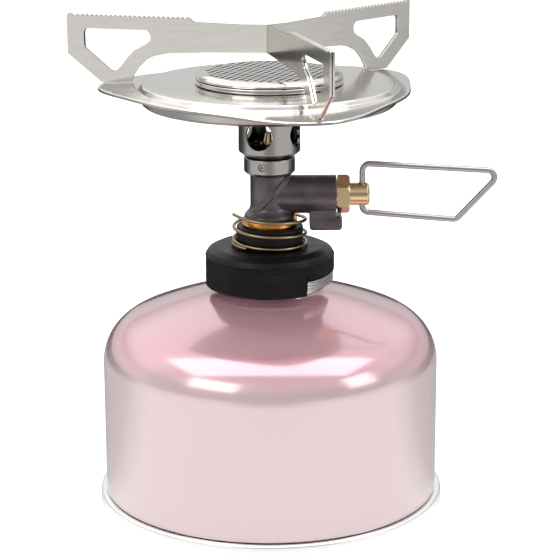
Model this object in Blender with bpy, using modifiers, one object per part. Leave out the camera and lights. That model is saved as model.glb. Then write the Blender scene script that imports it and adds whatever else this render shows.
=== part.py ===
# One-piece gas stove for hiking, screwed onto a threaded gas canister.
# Lengths are in millimetres and are turned into metres by MM. Heights are measured
# from the surface the canister stands on, radii from the common axis of canister and burner.
# Angles are in degrees, counterclockwise seen from above, from the side the valve handle is on.
import math

import bmesh
import bpy
from mathutils import Matrix, Vector

MM = 0.001
GAP = 0.3                # between pieces that touch or slide on the real stove

# The origin is under the middle of the whole object. The handle and the front leg reach
# past the canister, so the canister's own axis stands a little to one side of it.
AXIS_X, AXIS_Y = -3.5, 3.9

CANISTER_RADIUS = 52.95
SEAM_RADIUS = 55.0
SEAM_TOP = 4.3
CANISTER_WALL = 0.6
WALL_TOP = 46.3          # where the straight wall turns into the shoulder
SHOULDER_RADIUS = 15.2
SHOULDER_TURN = 67.0
DOME_RADIUS = 131.7
NECK_RADIUS = 16.3
NECK_TOP = 71.2
CUP_TOP = 72.2
THREAD_TOP = 77.2        # mouth of the canister's threaded collar
THREAD_RADIUS = 5.55

COLLAR_RADIUS = 20.3
COLLAR_BOTTOM, COLLAR_TOP = 70.7, 83.2
SLEEVE_RADIUS = 10.4
NOTCH = (-55.0, 45.0)    # where the collar's skirt is cut away, from angle to angle
CLAMP_TAB = (-54.2, 5.0)

ARM_Z = 99.4             # height of the valve arm, the spindle and the handle
ARM_RADIUS = 6.0
ARM_END = 20.8
LUG_START = 12.4         # clear of the collar spring
TUBE_RADIUS = 6.05
BODY_BOTTOM = 92.2
SPINDLE_RADIUS = 3.54
SPINDLE_END = 31.1
HANDLE_X = 28.85         # the cross hole that the handle turns in
WIRE_RADIUS = 0.93

STEM_RADIUS = 9.6
AIR_HOLE_Z, AIR_HOLE_RADIUS = 119.25, 4.4
DISH_Z, DISH_RADIUS = 128.1, 39.3
FLANGE_Z = 133.0         # where the flange leaves the raised middle; it slopes down from there
FLANGE_SLOPE = 0.06
PLATEAU_Z = 134.5
BURNER_TOP = 138.0

LEG_ANGLES = (45.8, 165.8, 285.8)
LEG_REACH = 65.0
LEG_TOP = 153.8
BLADE = 0.6              # thickness of one support blade
TOOTH_PITCH = 1.55
TOOTH_DEPTH = 0.7
BEND_RADIUS = 1.6


def clear_scene():
    for obj in list(bpy.data.objects):
        bpy.data.objects.remove(obj, do_unlink=True)


def new_collection(name):
    collection = bpy.data.collections.new(name)
    bpy.context.scene.collection.children.link(collection)
    return collection


clear_scene()
parts = new_collection("canister_stove")
cutters = new_collection("cutters")
axis = bpy.data.objects.new("stove_axis", None)
axis.location = (AXIS_X * MM, AXIS_Y * MM, 0)
parts.objects.link(axis)


def material(name, colour, roughness, metallic):
    made = bpy.data.materials.new(name)
    made.use_nodes = True
    shader = made.node_tree.nodes["Principled BSDF"]
    shader.inputs["Base Color"].default_value = (*colour, 1)
    shader.inputs["Roughness"].default_value = roughness
    shader.inputs["Metallic"].default_value = metallic
    return made


PAINT = material("pink_paint", (0.66, 0.36, 0.40), 0.2, 0.0)
TINPLATE = material("tinplate", (0.78, 0.78, 0.78), 0.25, 1.0)
STAINLESS = material("stainless", (0.62, 0.60, 0.57), 0.3, 1.0)
NICKEL = material("nickel", (0.55, 0.54, 0.52), 0.3, 1.0)
BLACK_KNURL = material("black_anodised", (0.012, 0.012, 0.013), 0.4, 0.0)
CASTING = material("black_casting", (0.035, 0.032, 0.034), 0.45, 0.0)
BRASS = material("brass", (0.68, 0.46, 0.18), 0.25, 1.0)
SPRING_STEEL = material("spring_steel", (0.35, 0.30, 0.20), 0.3, 1.0)
RUBBER = material("rubber", (0.02, 0.02, 0.02), 0.7, 0.0)
NYLON = material("nylon", (0.75, 0.74, 0.70), 0.5, 0.0)
SINTER = material("sintered_bronze", (0.42, 0.28, 0.16), 0.7, 1.0)


def add(name, mesh, surface, helper=False):
    """A part, or a helper that only cuts or joins and is never drawn."""
    obj = bpy.data.objects.new(name, mesh)
    (cutters if helper else parts).objects.link(obj)
    obj.parent = axis
    if helper:
        obj.hide_render = True
        obj.display_type = "WIRE"
    else:
        mesh.materials.append(surface)
    return obj


def turned(name, profile, surface=None, steps=40, helper=False):
    """A (radius, height) profile turned round the axis, written down its outer side.
    A profile that starts off the axis is a ring and closes on itself."""
    mesh = bpy.data.meshes.new(name)
    points = [(r * MM, 0, z * MM) for r, z in profile]
    edges = [(i, i + 1) for i in range(len(points) - 1)]
    if profile[0][0] > 0:
        edges.append((len(points) - 1, 0))
    mesh.from_pydata(points, edges, [])
    obj = add(name, mesh, surface, helper)
    screw_all_round(obj, steps)
    return obj


def screw_all_round(obj, steps):
    screw = obj.modifiers.new("turn", "SCREW")
    screw.angle = 2 * math.pi
    screw.steps = screw.render_steps = steps
    screw.use_merge_vertices = True
    screw.merge_threshold = 0.00001


def turned_shell(name, profile, thickness, surface, steps=40):
    """An open profile, written down its outer side, given a wall towards the inside."""
    mesh = bpy.data.meshes.new(name)
    points = [(r * MM, 0, z * MM) for r, z in profile]
    mesh.from_pydata(points, [(i, i + 1) for i in range(len(points) - 1)], [])
    obj = add(name, mesh, surface)
    screw_all_round(obj, steps)
    thicken(obj, thickness, -1)
    return obj


def thicken(obj, thickness, offset):
    wall = obj.modifiers.new("wall", "SOLIDIFY")
    wall.thickness = thickness * MM
    wall.offset = offset
    wall.use_even_offset = True


def arc(centre_r, centre_z, radius, start, end, count):
    """Points on an arc, its angle measured from outwards towards up."""
    turns = [math.radians(start + (end - start) * i / (count - 1)) for i in range(count)]
    return [(centre_r + radius * math.cos(a), centre_z + radius * math.sin(a)) for a in turns]


def rod(name, start, end, radius, surface=None, sides=24, helper=False, tip=None, spin=0.0):
    """A straight round bar between two points, or a cone or prism."""
    start, end = Vector(start) * MM, Vector(end) * MM
    along = end - start
    place = Matrix.Translation((start + end) / 2) @ along.to_track_quat("Z", "Y").to_matrix().to_4x4()
    bm = bmesh.new()
    bmesh.ops.create_cone(
        bm, cap_ends=True, segments=sides, radius1=radius * MM,
        radius2=(radius if tip is None else tip) * MM, depth=along.length,
        matrix=place @ Matrix.Rotation(math.radians(spin), 4, "Z"),
    )
    mesh = bpy.data.meshes.new(name)
    bm.to_mesh(mesh)
    bm.free()
    return add(name, mesh, surface, helper)


def block(name, low, high, bevel=0.0, surface=None, helper=True):
    """A box between two corners, with its edges bevelled."""
    bm = bmesh.new()
    bmesh.ops.create_cube(bm, size=1)
    size = [(b - a) * MM for a, b in zip(low, high)]
    centre = [(a + b) / 2 * MM for a, b in zip(low, high)]
    bmesh.ops.transform(bm, matrix=Matrix.Translation(centre) @ Matrix.Diagonal((*size, 1)), verts=bm.verts)
    mesh = bpy.data.meshes.new(name)
    bm.to_mesh(mesh)
    bm.free()
    obj = add(name, mesh, surface, helper)
    if bevel:
        edge = obj.modifiers.new("edges", "BEVEL")
        edge.width = bevel * MM
        edge.segments = 2
    return obj


def sector(name, inner, outer, angles, low, high):
    """A helper: the piece of a ring between two radii, two angles and two heights."""
    steps = 14
    turns = [math.radians(angles[0] + (angles[1] - angles[0]) * i / steps) for i in range(steps + 1)]
    outline = [(outer * math.cos(a), outer * math.sin(a)) for a in turns]
    outline += [(inner * math.cos(a), inner * math.sin(a)) for a in reversed(turns)]
    curve = bpy.data.curves.new(name, "CURVE")
    curve.dimensions = "2D"
    curve.fill_mode = "BOTH"
    curve.extrude = (high - low) / 2 * MM
    spline = curve.splines.new("POLY")
    spline.points.add(len(outline) - 1)
    for point, (x, y) in zip(spline.points, outline):
        point.co = (x * MM, y * MM, 0, 1)
    spline.use_cyclic_u = True
    drawn = bpy.data.objects.new(name + "_outline", curve)
    cutters.objects.link(drawn)
    mesh = bpy.data.meshes.new_from_object(drawn.evaluated_get(bpy.context.evaluated_depsgraph_get()))
    bpy.data.objects.remove(drawn, do_unlink=True)
    bm = bmesh.new()
    bm.from_mesh(mesh)
    bmesh.ops.remove_doubles(bm, verts=bm.verts, dist=0.00001)
    bmesh.ops.translate(bm, verts=bm.verts, vec=(0, 0, (low + high) / 2 * MM))
    bmesh.ops.recalc_face_normals(bm, faces=bm.faces)
    bm.to_mesh(mesh)
    bm.free()
    return add(name, mesh, None, helper=True)


def combine(obj, operation, *others):
    for other in others:
        modifier = obj.modifiers.new(operation.lower() + "_" + other.name, "BOOLEAN")
        modifier.operation = operation
        modifier.object = other


def wire(name, points, radius, surface, resolution=2):
    """A round wire along a list of points, its ends closed."""
    curve = bpy.data.curves.new(name, "CURVE")
    curve.dimensions = "3D"
    curve.bevel_depth = radius * MM
    curve.bevel_resolution = resolution
    curve.use_fill_caps = True
    spline = curve.splines.new("POLY")
    spline.points.add(len(points) - 1)
    for point, place in zip(spline.points, points):
        point.co = (*(Vector(place) * MM), 1)
    obj = add(name, curve, surface)
    return obj


def polar(radius, degrees, z):
    return (radius * math.cos(math.radians(degrees)), radius * math.sin(math.radians(degrees)), z)


# ---- the gas canister

def canister_body():
    """Straight wall, a tight shoulder arc and a wide dome arc, then the neck's upstand."""
    shoulder = (CANISTER_RADIUS - SHOULDER_RADIUS, WALL_TOP)
    turn = math.radians(SHOULDER_TURN)
    dome = (shoulder[0] + (SHOULDER_RADIUS - DOME_RADIUS) * math.cos(turn),
            shoulder[1] + (SHOULDER_RADIUS - DOME_RADIUS) * math.sin(turn))
    dome_end = math.degrees(math.acos((NECK_RADIUS + 1.1 - dome[0]) / DOME_RADIUS))
    profile = [(NECK_RADIUS, NECK_TOP), (NECK_RADIUS, 69.1)]
    profile += arc(*dome, DOME_RADIUS, dome_end, SHOULDER_TURN, 4)
    profile += arc(*shoulder, SHOULDER_RADIUS, SHOULDER_TURN, 0, 6)[1:]
    profile += [(CANISTER_RADIUS, SEAM_TOP + GAP)]
    turned_shell("canister_body", profile, CANISTER_WALL, PAINT, 32)


def canister_base():
    """The bottom pressed inwards, and the rolled seam that the canister stands on."""
    panel, rise, curve = 0.7, 12.0, 136.6
    top = arc(0, rise - curve, curve, 90, 68.2, 4)
    under = arc(0, rise - curve, curve - panel, 68.2, 90, 4)
    seam = [(51.6, 2.4), (51.8, SEAM_TOP), (54.6, SEAM_TOP), (SEAM_RADIUS, 3.8), (SEAM_RADIUS, 0.5),
            (54.5, 0), (53.0, 0), (52.2, 0.6), (51.4, 1.3)]
    turned("canister_base", top + seam + under, TINPLATE, 32)


def canister_valve():
    """The crimped cup with its threaded collar, and the valve that the stove pushes open."""
    cup = [(2.0, THREAD_TOP), (5.2, THREAD_TOP), (THREAD_RADIUS, 76.8), (THREAD_RADIUS, 67.7),
           (6.0, 67.3), (13.8, 67.3), (14.7, 68.2), (14.9, 71.3), (15.7, CUP_TOP), (16.6, 71.9),
           (17.1, 71.3), (17.1, 70.7)]
    turned_shell("valve_cup", cup, 0.5, TINPLATE, 24)
    turned("valve_gasket", [(1.75, 76.4), (4.7, 76.4), (4.7, 75.2), (1.75, 75.2)], RUBBER, 16)
    turned("valve_housing", [(3.4, 74.9), (4.7, 74.9), (4.7, 61.5), (0.8, 61.5), (0.8, 62.7), (3.4, 62.7)],
           NYLON, 16)
    turned("valve_poppet", [(0, 75.6), (1.4, 75.6), (1.4, 72.9), (2.9, 72.9), (2.9, 71.7), (1.0, 71.7),
                            (1.0, 66.0), (0, 66.0)], NYLON, 14)
    wire("poppet_spring", helix(2.1, 2.1, 0, 1440, lambda turn: 63.4 + 7.7 * turn / 1440, 8),
         0.3, SPRING_STEEL, 1)


def helix(start_radius, end_radius, start_angle, turn, height, per_turn):
    """Points along a coil; height gives the level after so many degrees of turn."""
    count = int(abs(turn) / 360 * per_turn)
    points = []
    for i in range(count + 1):
        share = i / count
        radius = start_radius + (end_radius - start_radius) * share
        points.append(polar(radius, start_angle + turn * share, height(abs(turn) * share)))
    return points


# ---- the coupling under the stove

def coupling():
    insert = [(2.2, 93.9), (3.5, 93.9), (3.5, 91.9), (8.6, 91.9), (8.6, 89.9), (7.7, 89.9), (7.7, 70.4),
              (7.3, 70.0), (6.2, 70.0), (5.85, 70.4), (5.85, 79.6), (1.45, 79.6), (1.45, 89.2), (2.2, 89.2)]
    turned("thread_insert", insert, BRASS, 24)
    turned("inlet_seal", arc(4.75, 78.4, 0.85, 90, -225, 8), RUBBER, 18)
    turned("opening_pin", [(0, 86.0), (0.8, 86.0), (1.1, 85.6), (1.1, 76.2), (0.8, 75.9), (0, 75.9)], BRASS, 12)
    turned("inlet_filter", [(0, 91.3), (1.9, 91.3), (1.9, 89.5), (0, 89.5)], SINTER, 14)
    turned("neck_sleeve", [(8.0, 89.6), (10.0, 89.6), (SLEEVE_RADIUS, 89.2), (SLEEVE_RADIUS, 75.6),
                           (15.5, 75.6), (15.5, 74.2), (8.0, 74.2)], BLACK_KNURL, 32)


def clamp_and_collar():
    """The knurled collar slides on the neck against its spring and turns on the clamp ring."""
    bore = SLEEVE_RADIUS + 0.4
    ring = turned("clamp_ring", [(bore, 77.5), (18.6, 77.5), (18.6, 72.1), (17.5, 72.1), (17.5, 75.9), (bore, 75.9)],
                  STAINLESS, 36)
    combine(ring, "UNION", sector("clamp_tab", 18.0, 19.9, CLAMP_TAB, 72.1, 75.3))
    collar = turned("lock_collar", [(bore, COLLAR_TOP), (17.6, COLLAR_TOP), (19.0, 82.6), (19.9, 81.6),
                                    (COLLAR_RADIUS, 80.3), (COLLAR_RADIUS, 71.3), (19.9, COLLAR_BOTTOM),
                                    (18.9, COLLAR_BOTTOM), (18.9, 77.8), (bore, 77.8)], BLACK_KNURL, 40)
    combine(collar, "DIFFERENCE", sector("notch", 18.3, 22.0, NOTCH, 70.0, 75.6))


def spring_height(turn):
    """Flat for most of its closed first turn, then a rise that opens out a little towards the cut end."""
    closed = 300.0
    turns = max(0.0, turn - closed) / 360
    return 84.05 + 0.1 * min(turn, closed) / closed + 3.43 * turns + 0.33 * turns ** 2


def collar_spring():
    wire("collar_spring", helix(11.6, 11.1, 232, -1117, spring_height, 15), 0.52, SPRING_STEEL)


# ---- the valve

def valve_body():
    """The cast tee: upright tube, side arm, lug under the arm and the web across the joint."""
    body = turned("valve_body", [(0, 112.2), (5.0, 112.2), (5.0, 106.1), (TUBE_RADIUS, 106.1),
                                 (TUBE_RADIUS, 94.7), (7.9, 93.0), (7.9, BODY_BOTTOM), (0, BODY_BOTTOM)],
                  CASTING, 24)
    arm = rod("arm", (0, 0, ARM_Z), (ARM_END, 0, ARM_Z), ARM_RADIUS, sides=24, helper=True, spin=3)
    lug_top = block("lug_top", (LUG_START, -4.0, 89.5), (20.5, 4.0, 97.0))
    lug = block("lug", (LUG_START, -4.2, 88.5), (22.6, 4.2, 92.8), bevel=0.6)
    combine(body, "UNION", arm, lug_top, lug, web())
    holes = [
        rod("gland_bore", (15.0, 0, ARM_Z), (22.0, 0, ARM_Z), 5.0, sides=20, helper=True),
        rod("spindle_bore", (9.0, 0, ARM_Z), (16.0, 0, ARM_Z), 3.9, sides=20, helper=True),
        rod("seat_bore", (0, 0, ARM_Z), (9.5, 0, ARM_Z), 1.0, sides=12, helper=True),
        rod("outlet_bore", (0, 0, ARM_Z - 0.7), (0, 0, 108.0), 1.0, sides=12, helper=True, spin=10),
        rod("jet_socket", (0, 0, 107.0), (0, 0, 113.0), 2.6, sides=20, helper=True),
        rod("inlet_socket", (0, 0, 91.5), (0, 0, 94.3), 3.8, sides=24, helper=True),
        rod("inlet_bore", (0, 0, 94.0), (0, 0, 96.0), 1.3, sides=12, helper=True),
        rod("gas_way", (0.2, 0, 95.0), (12.0, 0, 97.0), 1.1, sides=12, helper=True, spin=7),
    ]
    combine(body, "DIFFERENCE", *holes)


def web():
    """The raised band that runs slantwise round the tube, from under the arm's top to the foot."""
    slab = block("web", (-10.0, -7.0, -0.75), (10.0, 7.0, 0.75))
    slab.rotation_euler = (0, math.radians(-45), 0)
    slab.location = (0, 0, ARM_Z * MM)
    shaft = rod("web_round", (0, 0, 93.2), (0, 0, 105.8), TUBE_RADIUS + 0.55, sides=24, helper=True, spin=4)
    combine(slab, "INTERSECT", shaft)
    return slab


def gland_nut():
    """A hexagon nut with its corners up and down, chamfered outside, and its sleeve in the arm."""
    nut = rod("gland_nut", (ARM_END + GAP, 0, ARM_Z), (24.9, 0, ARM_Z), 6.15, BRASS, sides=6)
    chamfer = rod("nut_chamfer", (19.0, 0, ARM_Z), (25.6, 0, ARM_Z), 8.9, helper=True, sides=24, tip=5.0)
    sleeve = rod("nut_sleeve", (15.4, 0, ARM_Z), (22.0, 0, ARM_Z), 4.7, helper=True, sides=24, spin=3)
    bore = rod("nut_bore", (14.0, 0, ARM_Z), (26.0, 0, ARM_Z), SPINDLE_RADIUS + GAP, helper=True, sides=24)
    combine(nut, "INTERSECT", chamfer)
    combine(nut, "UNION", sleeve)
    combine(nut, "DIFFERENCE", bore)


def spindle():
    """The needle at the inner end, the seal's groove, and the cross hole for the handle."""
    groove = (17.9, 19.4)
    outline = [(0, SPINDLE_END), (3.0, SPINDLE_END), (SPINDLE_RADIUS, 30.4), (SPINDLE_RADIUS, groove[1]),
               (2.3, groove[1]), (2.3, groove[0]), (SPINDLE_RADIUS, groove[0]), (SPINDLE_RADIUS, 13.5),
               (2.2, 13.2), (2.2, 11.0), (0.75, 9.4), (0.35, 8.2), (0, 8.2)]
    bar = turned("spindle", outline, BRASS, 24)
    seal = turned("spindle_seal", arc(3.05, sum(groove) / 2, 0.45, 90, -210, 6), RUBBER, 16)
    for piece in (bar, seal):
        piece.location = (0, 0, ARM_Z * MM)
        piece.rotation_euler = (0, math.radians(90), 0)
    hole = rod("handle_hole", (HANDLE_X, 0, ARM_Z - 5), (HANDLE_X, 0, ARM_Z + 5), WIRE_RADIUS + 0.32,
               sides=16, helper=True)
    combine(bar, "DIFFERENCE", hole)


def rounded(corners, radius, steps=5):
    """A polyline with each inner corner rounded by an arc of the given radius."""
    points = [Vector(corners[0])]
    for before, corner, after in zip(corners, corners[1:], corners[2:]):
        before, corner, after = Vector(before), Vector(corner), Vector(after)
        back, on = (before - corner).normalized(), (after - corner).normalized()
        half = back.angle(on) / 2
        centre = corner + (back + on).normalized() * (radius / math.sin(half))
        start = corner + back * (radius / math.tan(half)) - centre
        end = corner + on * (radius / math.tan(half)) - centre
        for i in range(steps + 1):
            turn = Matrix.Rotation(start.angle(end) * i / steps, 3, start.cross(end))
            points.append(centre + turn @ start)
    points.append(Vector(corners[-1]))
    return points


def handle_wire():
    """One bent wire: in at the top of the cross hole, round the loop and in at the bottom."""
    inside = 0.45
    corners = [(0, 0, inside), (0, 0, 9.7), (43.8, 0, 7.1), (29.45, 0, -8.3), (0, 0, -5.75), (0, 0, -inside)]
    loop = wire("handle_wire", rounded(corners, 2.3), WIRE_RADIUS, STAINLESS)
    loop.location = (HANDLE_X * MM, 0, ARM_Z * MM)


# ---- the burner

def stem_and_jet():
    screw_angle, screw_z = -107.0, 109.3
    turned("jet", [(0.45, 119.0), (1.3, 119.0), (1.9, 116.0), (2.9, 116.0), (2.9, 112.5), (2.3, 112.5),
                   (2.3, 107.3), (0.45, 107.3)], BRASS, 14)
    ring = turned("stem_lock_ring", [(6.75, 111.5), (7.7, 111.5), (7.95, 111.2), (7.95, 107.3), (7.3, 106.4),
                                     (6.75, 106.4)], NICKEL, 28)
    stem = turned("burner_stem", [(7.0, 131.2), (8.0, 131.2), (8.0, 127.6), (STEM_RADIUS, 127.6),
                                  (STEM_RADIUS, 113.4), (8.3, 112.3), (6.4, 112.3), (6.4, 107.2), (5.3, 107.2),
                                  (5.3, 114.2), (8.5, 114.2), (8.5, 126.2), (7.0, 127.0)], NICKEL, 28)
    screw_way = rod("screw_way", polar(4.9, screw_angle, screw_z), polar(9.0, screw_angle, screw_z), 1.35,
                    sides=14, helper=True)
    rod("grub_screw", polar(5.3, screw_angle, screw_z), polar(7.6, screw_angle, screw_z), 1.02, NICKEL, sides=12)
    combine(ring, "DIFFERENCE", screw_way)
    combine(stem, "DIFFERENCE", screw_way)
    for quarter in range(4):
        angle = -111.0 + 90 * quarter
        hole = rod(f"air_hole_{quarter + 1}", polar(6.5, angle, AIR_HOLE_Z), polar(11.5, angle, AIR_HOLE_Z),
                   AIR_HOLE_RADIUS, sides=14, helper=True)
        combine(stem, "DIFFERENCE", hole)
    turned("stem_nut", [(8.3, 131.4), (10.8, 131.4), (10.8, 130.0), (8.3, 130.0)], NICKEL, 20)


def burner():
    turned_shell("lower_dish", [(DISH_RADIUS + 1.6, 131.1), (DISH_RADIUS, 128.9), (DISH_RADIUS - 0.8, DISH_Z),
                                (8.4, DISH_Z)], 0.5, STAINLESS, 36)
    turned("burner_bowl", [(20.0, 136.0), (22.7, 136.0), (22.9, 135.8), (22.9, 134.8), (20.8, 134.8),
                           (20.8, 130.5), (19.2, 128.9), (8.3, 128.9), (8.3, 129.7), (19.0, 129.7),
                           (20.0, 130.8)], STAINLESS, 32)
    cap = turned("burner_cap", [(0, BURNER_TOP), (20.4, BURNER_TOP), (21.8, 137.7), (22.5, 137.0), (22.6, 136.3),
                                (22.0, 136.3), (21.0, 137.3), (0, 137.3)], STAINLESS, 32)
    combine(cap, "DIFFERENCE", perforation(2, 7.4, 1.6))


def perforation(rings, pitch, radius):
    """A helper of round punches in a triangular pattern: a middle one and rings about it."""
    bm = bmesh.new()
    for row in range(-rings, rings + 1):
        for column in range(-rings, rings + 1):
            if abs(row + column) > rings:
                continue
            x = pitch * (column + row / 2)
            y = pitch * row * math.sin(math.radians(60))
            place = Matrix.Translation((x * MM, y * MM, BURNER_TOP * MM))
            bmesh.ops.create_cone(bm, cap_ends=True, segments=6, radius1=radius * MM, radius2=radius * MM,
                                  depth=4 * MM, matrix=place)
    mesh = bpy.data.meshes.new("punches")
    bm.to_mesh(mesh)
    bm.free()
    return add("punches", mesh, None, helper=True)


def plate_edge(degrees):
    """The flame plate's outline: round, with a bell-shaped lobe under each leg."""
    away = min(abs((degrees - leg + 180) % 360 - 180) for leg in LEG_ANGLES)
    return 43.2 + 11.3 * math.exp(-((away / 25.0) ** 2))


def flame_plate():
    """A round raised middle lofted into the lobed flange, whose edge is turned down."""
    around = 48
    foot = 40.3
    rise = [(21.1, PLATEAU_Z), (38.6, PLATEAU_Z), (39.8, PLATEAU_Z - 0.6), (foot, FLANGE_Z)]
    bm = bmesh.new()
    rows = []
    for i in range(around):
        degrees = 360 * i / around + LEG_ANGLES[0]
        edge = plate_edge(degrees)
        rim = FLANGE_Z - FLANGE_SLOPE * (edge - foot)
        section = rise + [(edge - 0.5, rim), (edge, rim - 0.4), (edge, rim - 1.0)]
        rows.append([bm.verts.new(Vector(polar(r, degrees, z)) * MM) for r, z in section])
    for row, following in zip(rows, rows[1:] + rows[:1]):
        for k in range(len(row) - 1):
            bm.faces.new((row[k], row[k + 1], following[k + 1], following[k]))
    mesh = bpy.data.meshes.new("flame_plate")
    bm.to_mesh(mesh)
    bm.free()
    thicken(add("flame_plate", mesh, STAINLESS), 0.5, -1)


# ---- the pot supports

def leg_outline():
    """Half of one support as (distance from the axis, height): toothed top, foot and arch."""
    points = [(8.6, 152.0), (23.8, 152.3), (25.3, 153.5)]
    first_tooth, flat_end = 26.0, 2.4
    for tooth in range(int((LEG_REACH - flat_end - first_tooth) / TOOTH_PITCH)):
        at = first_tooth + tooth * TOOTH_PITCH
        points += [(at, LEG_TOP), (at + 1.0, LEG_TOP - TOOTH_DEPTH)]
    points += [(LEG_REACH - flat_end, LEG_TOP), (LEG_REACH - 0.9, LEG_TOP), (LEG_REACH, LEG_TOP - 0.6),
               (LEG_REACH, 141.4), (53.9, 132.55),
               (44.2, 133.15), (43.7, 135.0), (42.0, 137.5), (39.7, 139.8), (36.6, 141.4), (32.0, 142.4),
               (20.0, 143.1)]
    return points


def leg_window():
    return [(40.0, 149.4), (57.8, 149.4), (59.2, 148.7), (59.5, 147.5), (59.4, 143.4), (51.6, 136.9),
            (50.3, 136.2), (49.0, 136.5), (47.5, 138.0), (45.4, 140.7), (43.0, 143.1), (39.4, 145.0),
            (37.8, 146.2), (37.7, 147.9), (38.5, 149.1)]


def pot_support(number, middle):
    """One flat blank with its two windows, bent at the axis: half of this leg and half of the next."""
    offset = BLADE / 2 + GAP / 2
    straight_start = (offset + BEND_RADIUS) / math.tan(math.radians(60))
    half_bend = BEND_RADIUS * math.pi / 6
    top, bottom = 152.2, 143.7

    def unrolled(points, side):
        return [(side * (half_bend + r - straight_start), z) for r, z in points]

    right = [(0, top)] + unrolled(leg_outline(), 1) + [(0, bottom)]
    left = unrolled(leg_outline(), -1)[::-1]
    bm = bmesh.new()
    for loop in (right + left, unrolled(leg_window(), 1), unrolled(leg_window(), -1)):
        corners = [bm.verts.new((u * MM, 0, z * MM)) for u, z in loop]
        for corner, following in zip(corners, corners[1:] + corners[:1]):
            bm.edges.new((corner, following))
    bmesh.ops.triangle_fill(bm, use_beauty=True, edges=bm.edges)
    for share in (-1, -0.5, 0, 0.5, 1):
        bmesh.ops.bisect_plane(bm, geom=bm.verts[:] + bm.edges[:] + bm.faces[:], dist=1e-7,
                               plane_co=(share * half_bend * MM, 0, 0), plane_no=(1, 0, 0))
    bmesh.ops.recalc_face_normals(bm, faces=bm.faces)
    for vert in bm.verts:
        x, y = bent(vert.co.x / MM, offset, half_bend, straight_start)
        vert.co = (x * MM, y * MM, vert.co.z)
    mesh = bpy.data.meshes.new(f"pot_support_{number}")
    bm.to_mesh(mesh)
    bm.free()
    obj = add(f"pot_support_{number}", mesh, STAINLESS)
    obj.rotation_euler = (0, 0, math.radians(middle))
    thicken(obj, BLADE, 0)


def bent(along, offset, half_bend, straight_start):
    """Where a point of the flat blank lands: on the bend's arc, or on the straight of its leg."""
    side = 1 if along >= 0 else -1
    centre = (offset + BEND_RADIUS) / math.sin(math.radians(60))
    if abs(along) < half_bend:
        turn = along / BEND_RADIUS
        return centre - BEND_RADIUS * math.cos(turn), BEND_RADIUS * math.sin(turn)
    reach = straight_start + abs(along) - half_bend
    leg = math.radians(60)
    x = reach * math.cos(leg) + offset * math.sin(leg)
    y = reach * math.sin(leg) - offset * math.cos(leg)
    return x, side * y


canister_body()
canister_base()
canister_valve()
coupling()
clamp_and_collar()
collar_spring()
valve_body()
gland_nut()
spindle()
handle_wire()
stem_and_jet()
burner()
flame_plate()
for number, leg_angle in enumerate(LEG_ANGLES, 1):
    pot_support(number, leg_angle + 60)
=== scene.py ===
# Hiking gas stove on its canister: looks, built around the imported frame.
# Lengths in the dictionaries are millimetres, angles are degrees, radii are from the stove's own axis.
import math

import bmesh
import bpy
import numpy as np
from mathutils import Matrix, Vector


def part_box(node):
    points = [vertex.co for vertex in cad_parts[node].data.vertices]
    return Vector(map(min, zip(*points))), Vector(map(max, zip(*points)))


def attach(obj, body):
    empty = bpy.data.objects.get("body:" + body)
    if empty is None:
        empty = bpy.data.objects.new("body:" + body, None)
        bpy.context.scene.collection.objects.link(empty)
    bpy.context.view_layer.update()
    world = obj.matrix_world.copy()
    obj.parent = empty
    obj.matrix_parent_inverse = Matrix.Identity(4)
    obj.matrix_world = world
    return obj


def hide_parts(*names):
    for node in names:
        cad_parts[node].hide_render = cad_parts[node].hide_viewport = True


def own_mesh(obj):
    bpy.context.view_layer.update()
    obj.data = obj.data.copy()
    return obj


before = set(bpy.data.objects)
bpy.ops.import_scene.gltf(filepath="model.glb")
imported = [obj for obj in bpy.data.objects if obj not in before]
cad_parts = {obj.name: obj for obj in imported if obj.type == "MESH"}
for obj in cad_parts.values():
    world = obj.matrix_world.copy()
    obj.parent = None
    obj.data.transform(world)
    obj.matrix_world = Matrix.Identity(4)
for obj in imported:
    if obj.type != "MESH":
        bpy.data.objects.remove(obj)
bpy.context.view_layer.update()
mm = 0.001
shellLow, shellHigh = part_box("canister_body")
axisX = (shellLow.x + shellHigh.x) / 2  # the canister's axis stands beside the origin
axisY = (shellLow.y + shellHigh.y) / 2
axisPlace = np.array((axisX, axisY, 0.0))
scene = bpy.context.scene
print("frame loaded", len(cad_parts), "nodes")

# camera, light and floor


camera = {"place": (-0.00034, -0.60015, 0.23852), "down": 15.45, "roll": -0.168, "lens": 127.7}


# the eye looks along +y, tipped down and rolled by those angles
def makeCamera(values):
    data = bpy.data.cameras.new("camera")
    data.lens = values["lens"]
    data.sensor_width = 36
    eye = bpy.data.objects.new("camera", data)
    turn = Matrix.Rotation(math.radians(90 - values["down"]), 4, "X")
    turn = turn @ Matrix.Rotation(math.radians(values["roll"]), 4, "Z")
    eye.matrix_world = Matrix.Translation(values["place"]) @ turn
    scene.collection.objects.link(eye)
    scene.camera = eye


lamps = [  # name, place, aimed at, size, power, colour
    ("topSoftbox", (0.0, -0.13, 0.80), (0, -0.06, 0.08), (1.55, 0.60), 6.8, (1.0, 0.995, 0.985)),
    ("leftSoftbox", (-0.50, -0.58, 0.46), (0, 0, 0.07), (0.50, 0.30), 1.1, (1.0, 0.99, 0.97)),
    ("rightSoftbox", (0.78, -0.36, 0.42), (0, 0, 0.07), (0.34, 0.34), 0.9, (1.0, 1.0, 1.0)),
]


# a rectangular lamp for every row, turned to face its target
def makeLamps(rows):
    for name, place, target, size, power, colour in rows:
        data = bpy.data.lights.new(name, "AREA")
        data.shape = "RECTANGLE"
        data.size, data.size_y = size
        data.energy = power
        data.color = colour
        lamp = bpy.data.objects.new(name, data)
        aim = (Vector(target) - Vector(place)).to_track_quat("-Z", "Y")
        lamp.matrix_world = Matrix.Translation(place) @ aim.to_matrix().to_4x4()
        scene.collection.objects.link(lamp)


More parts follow.
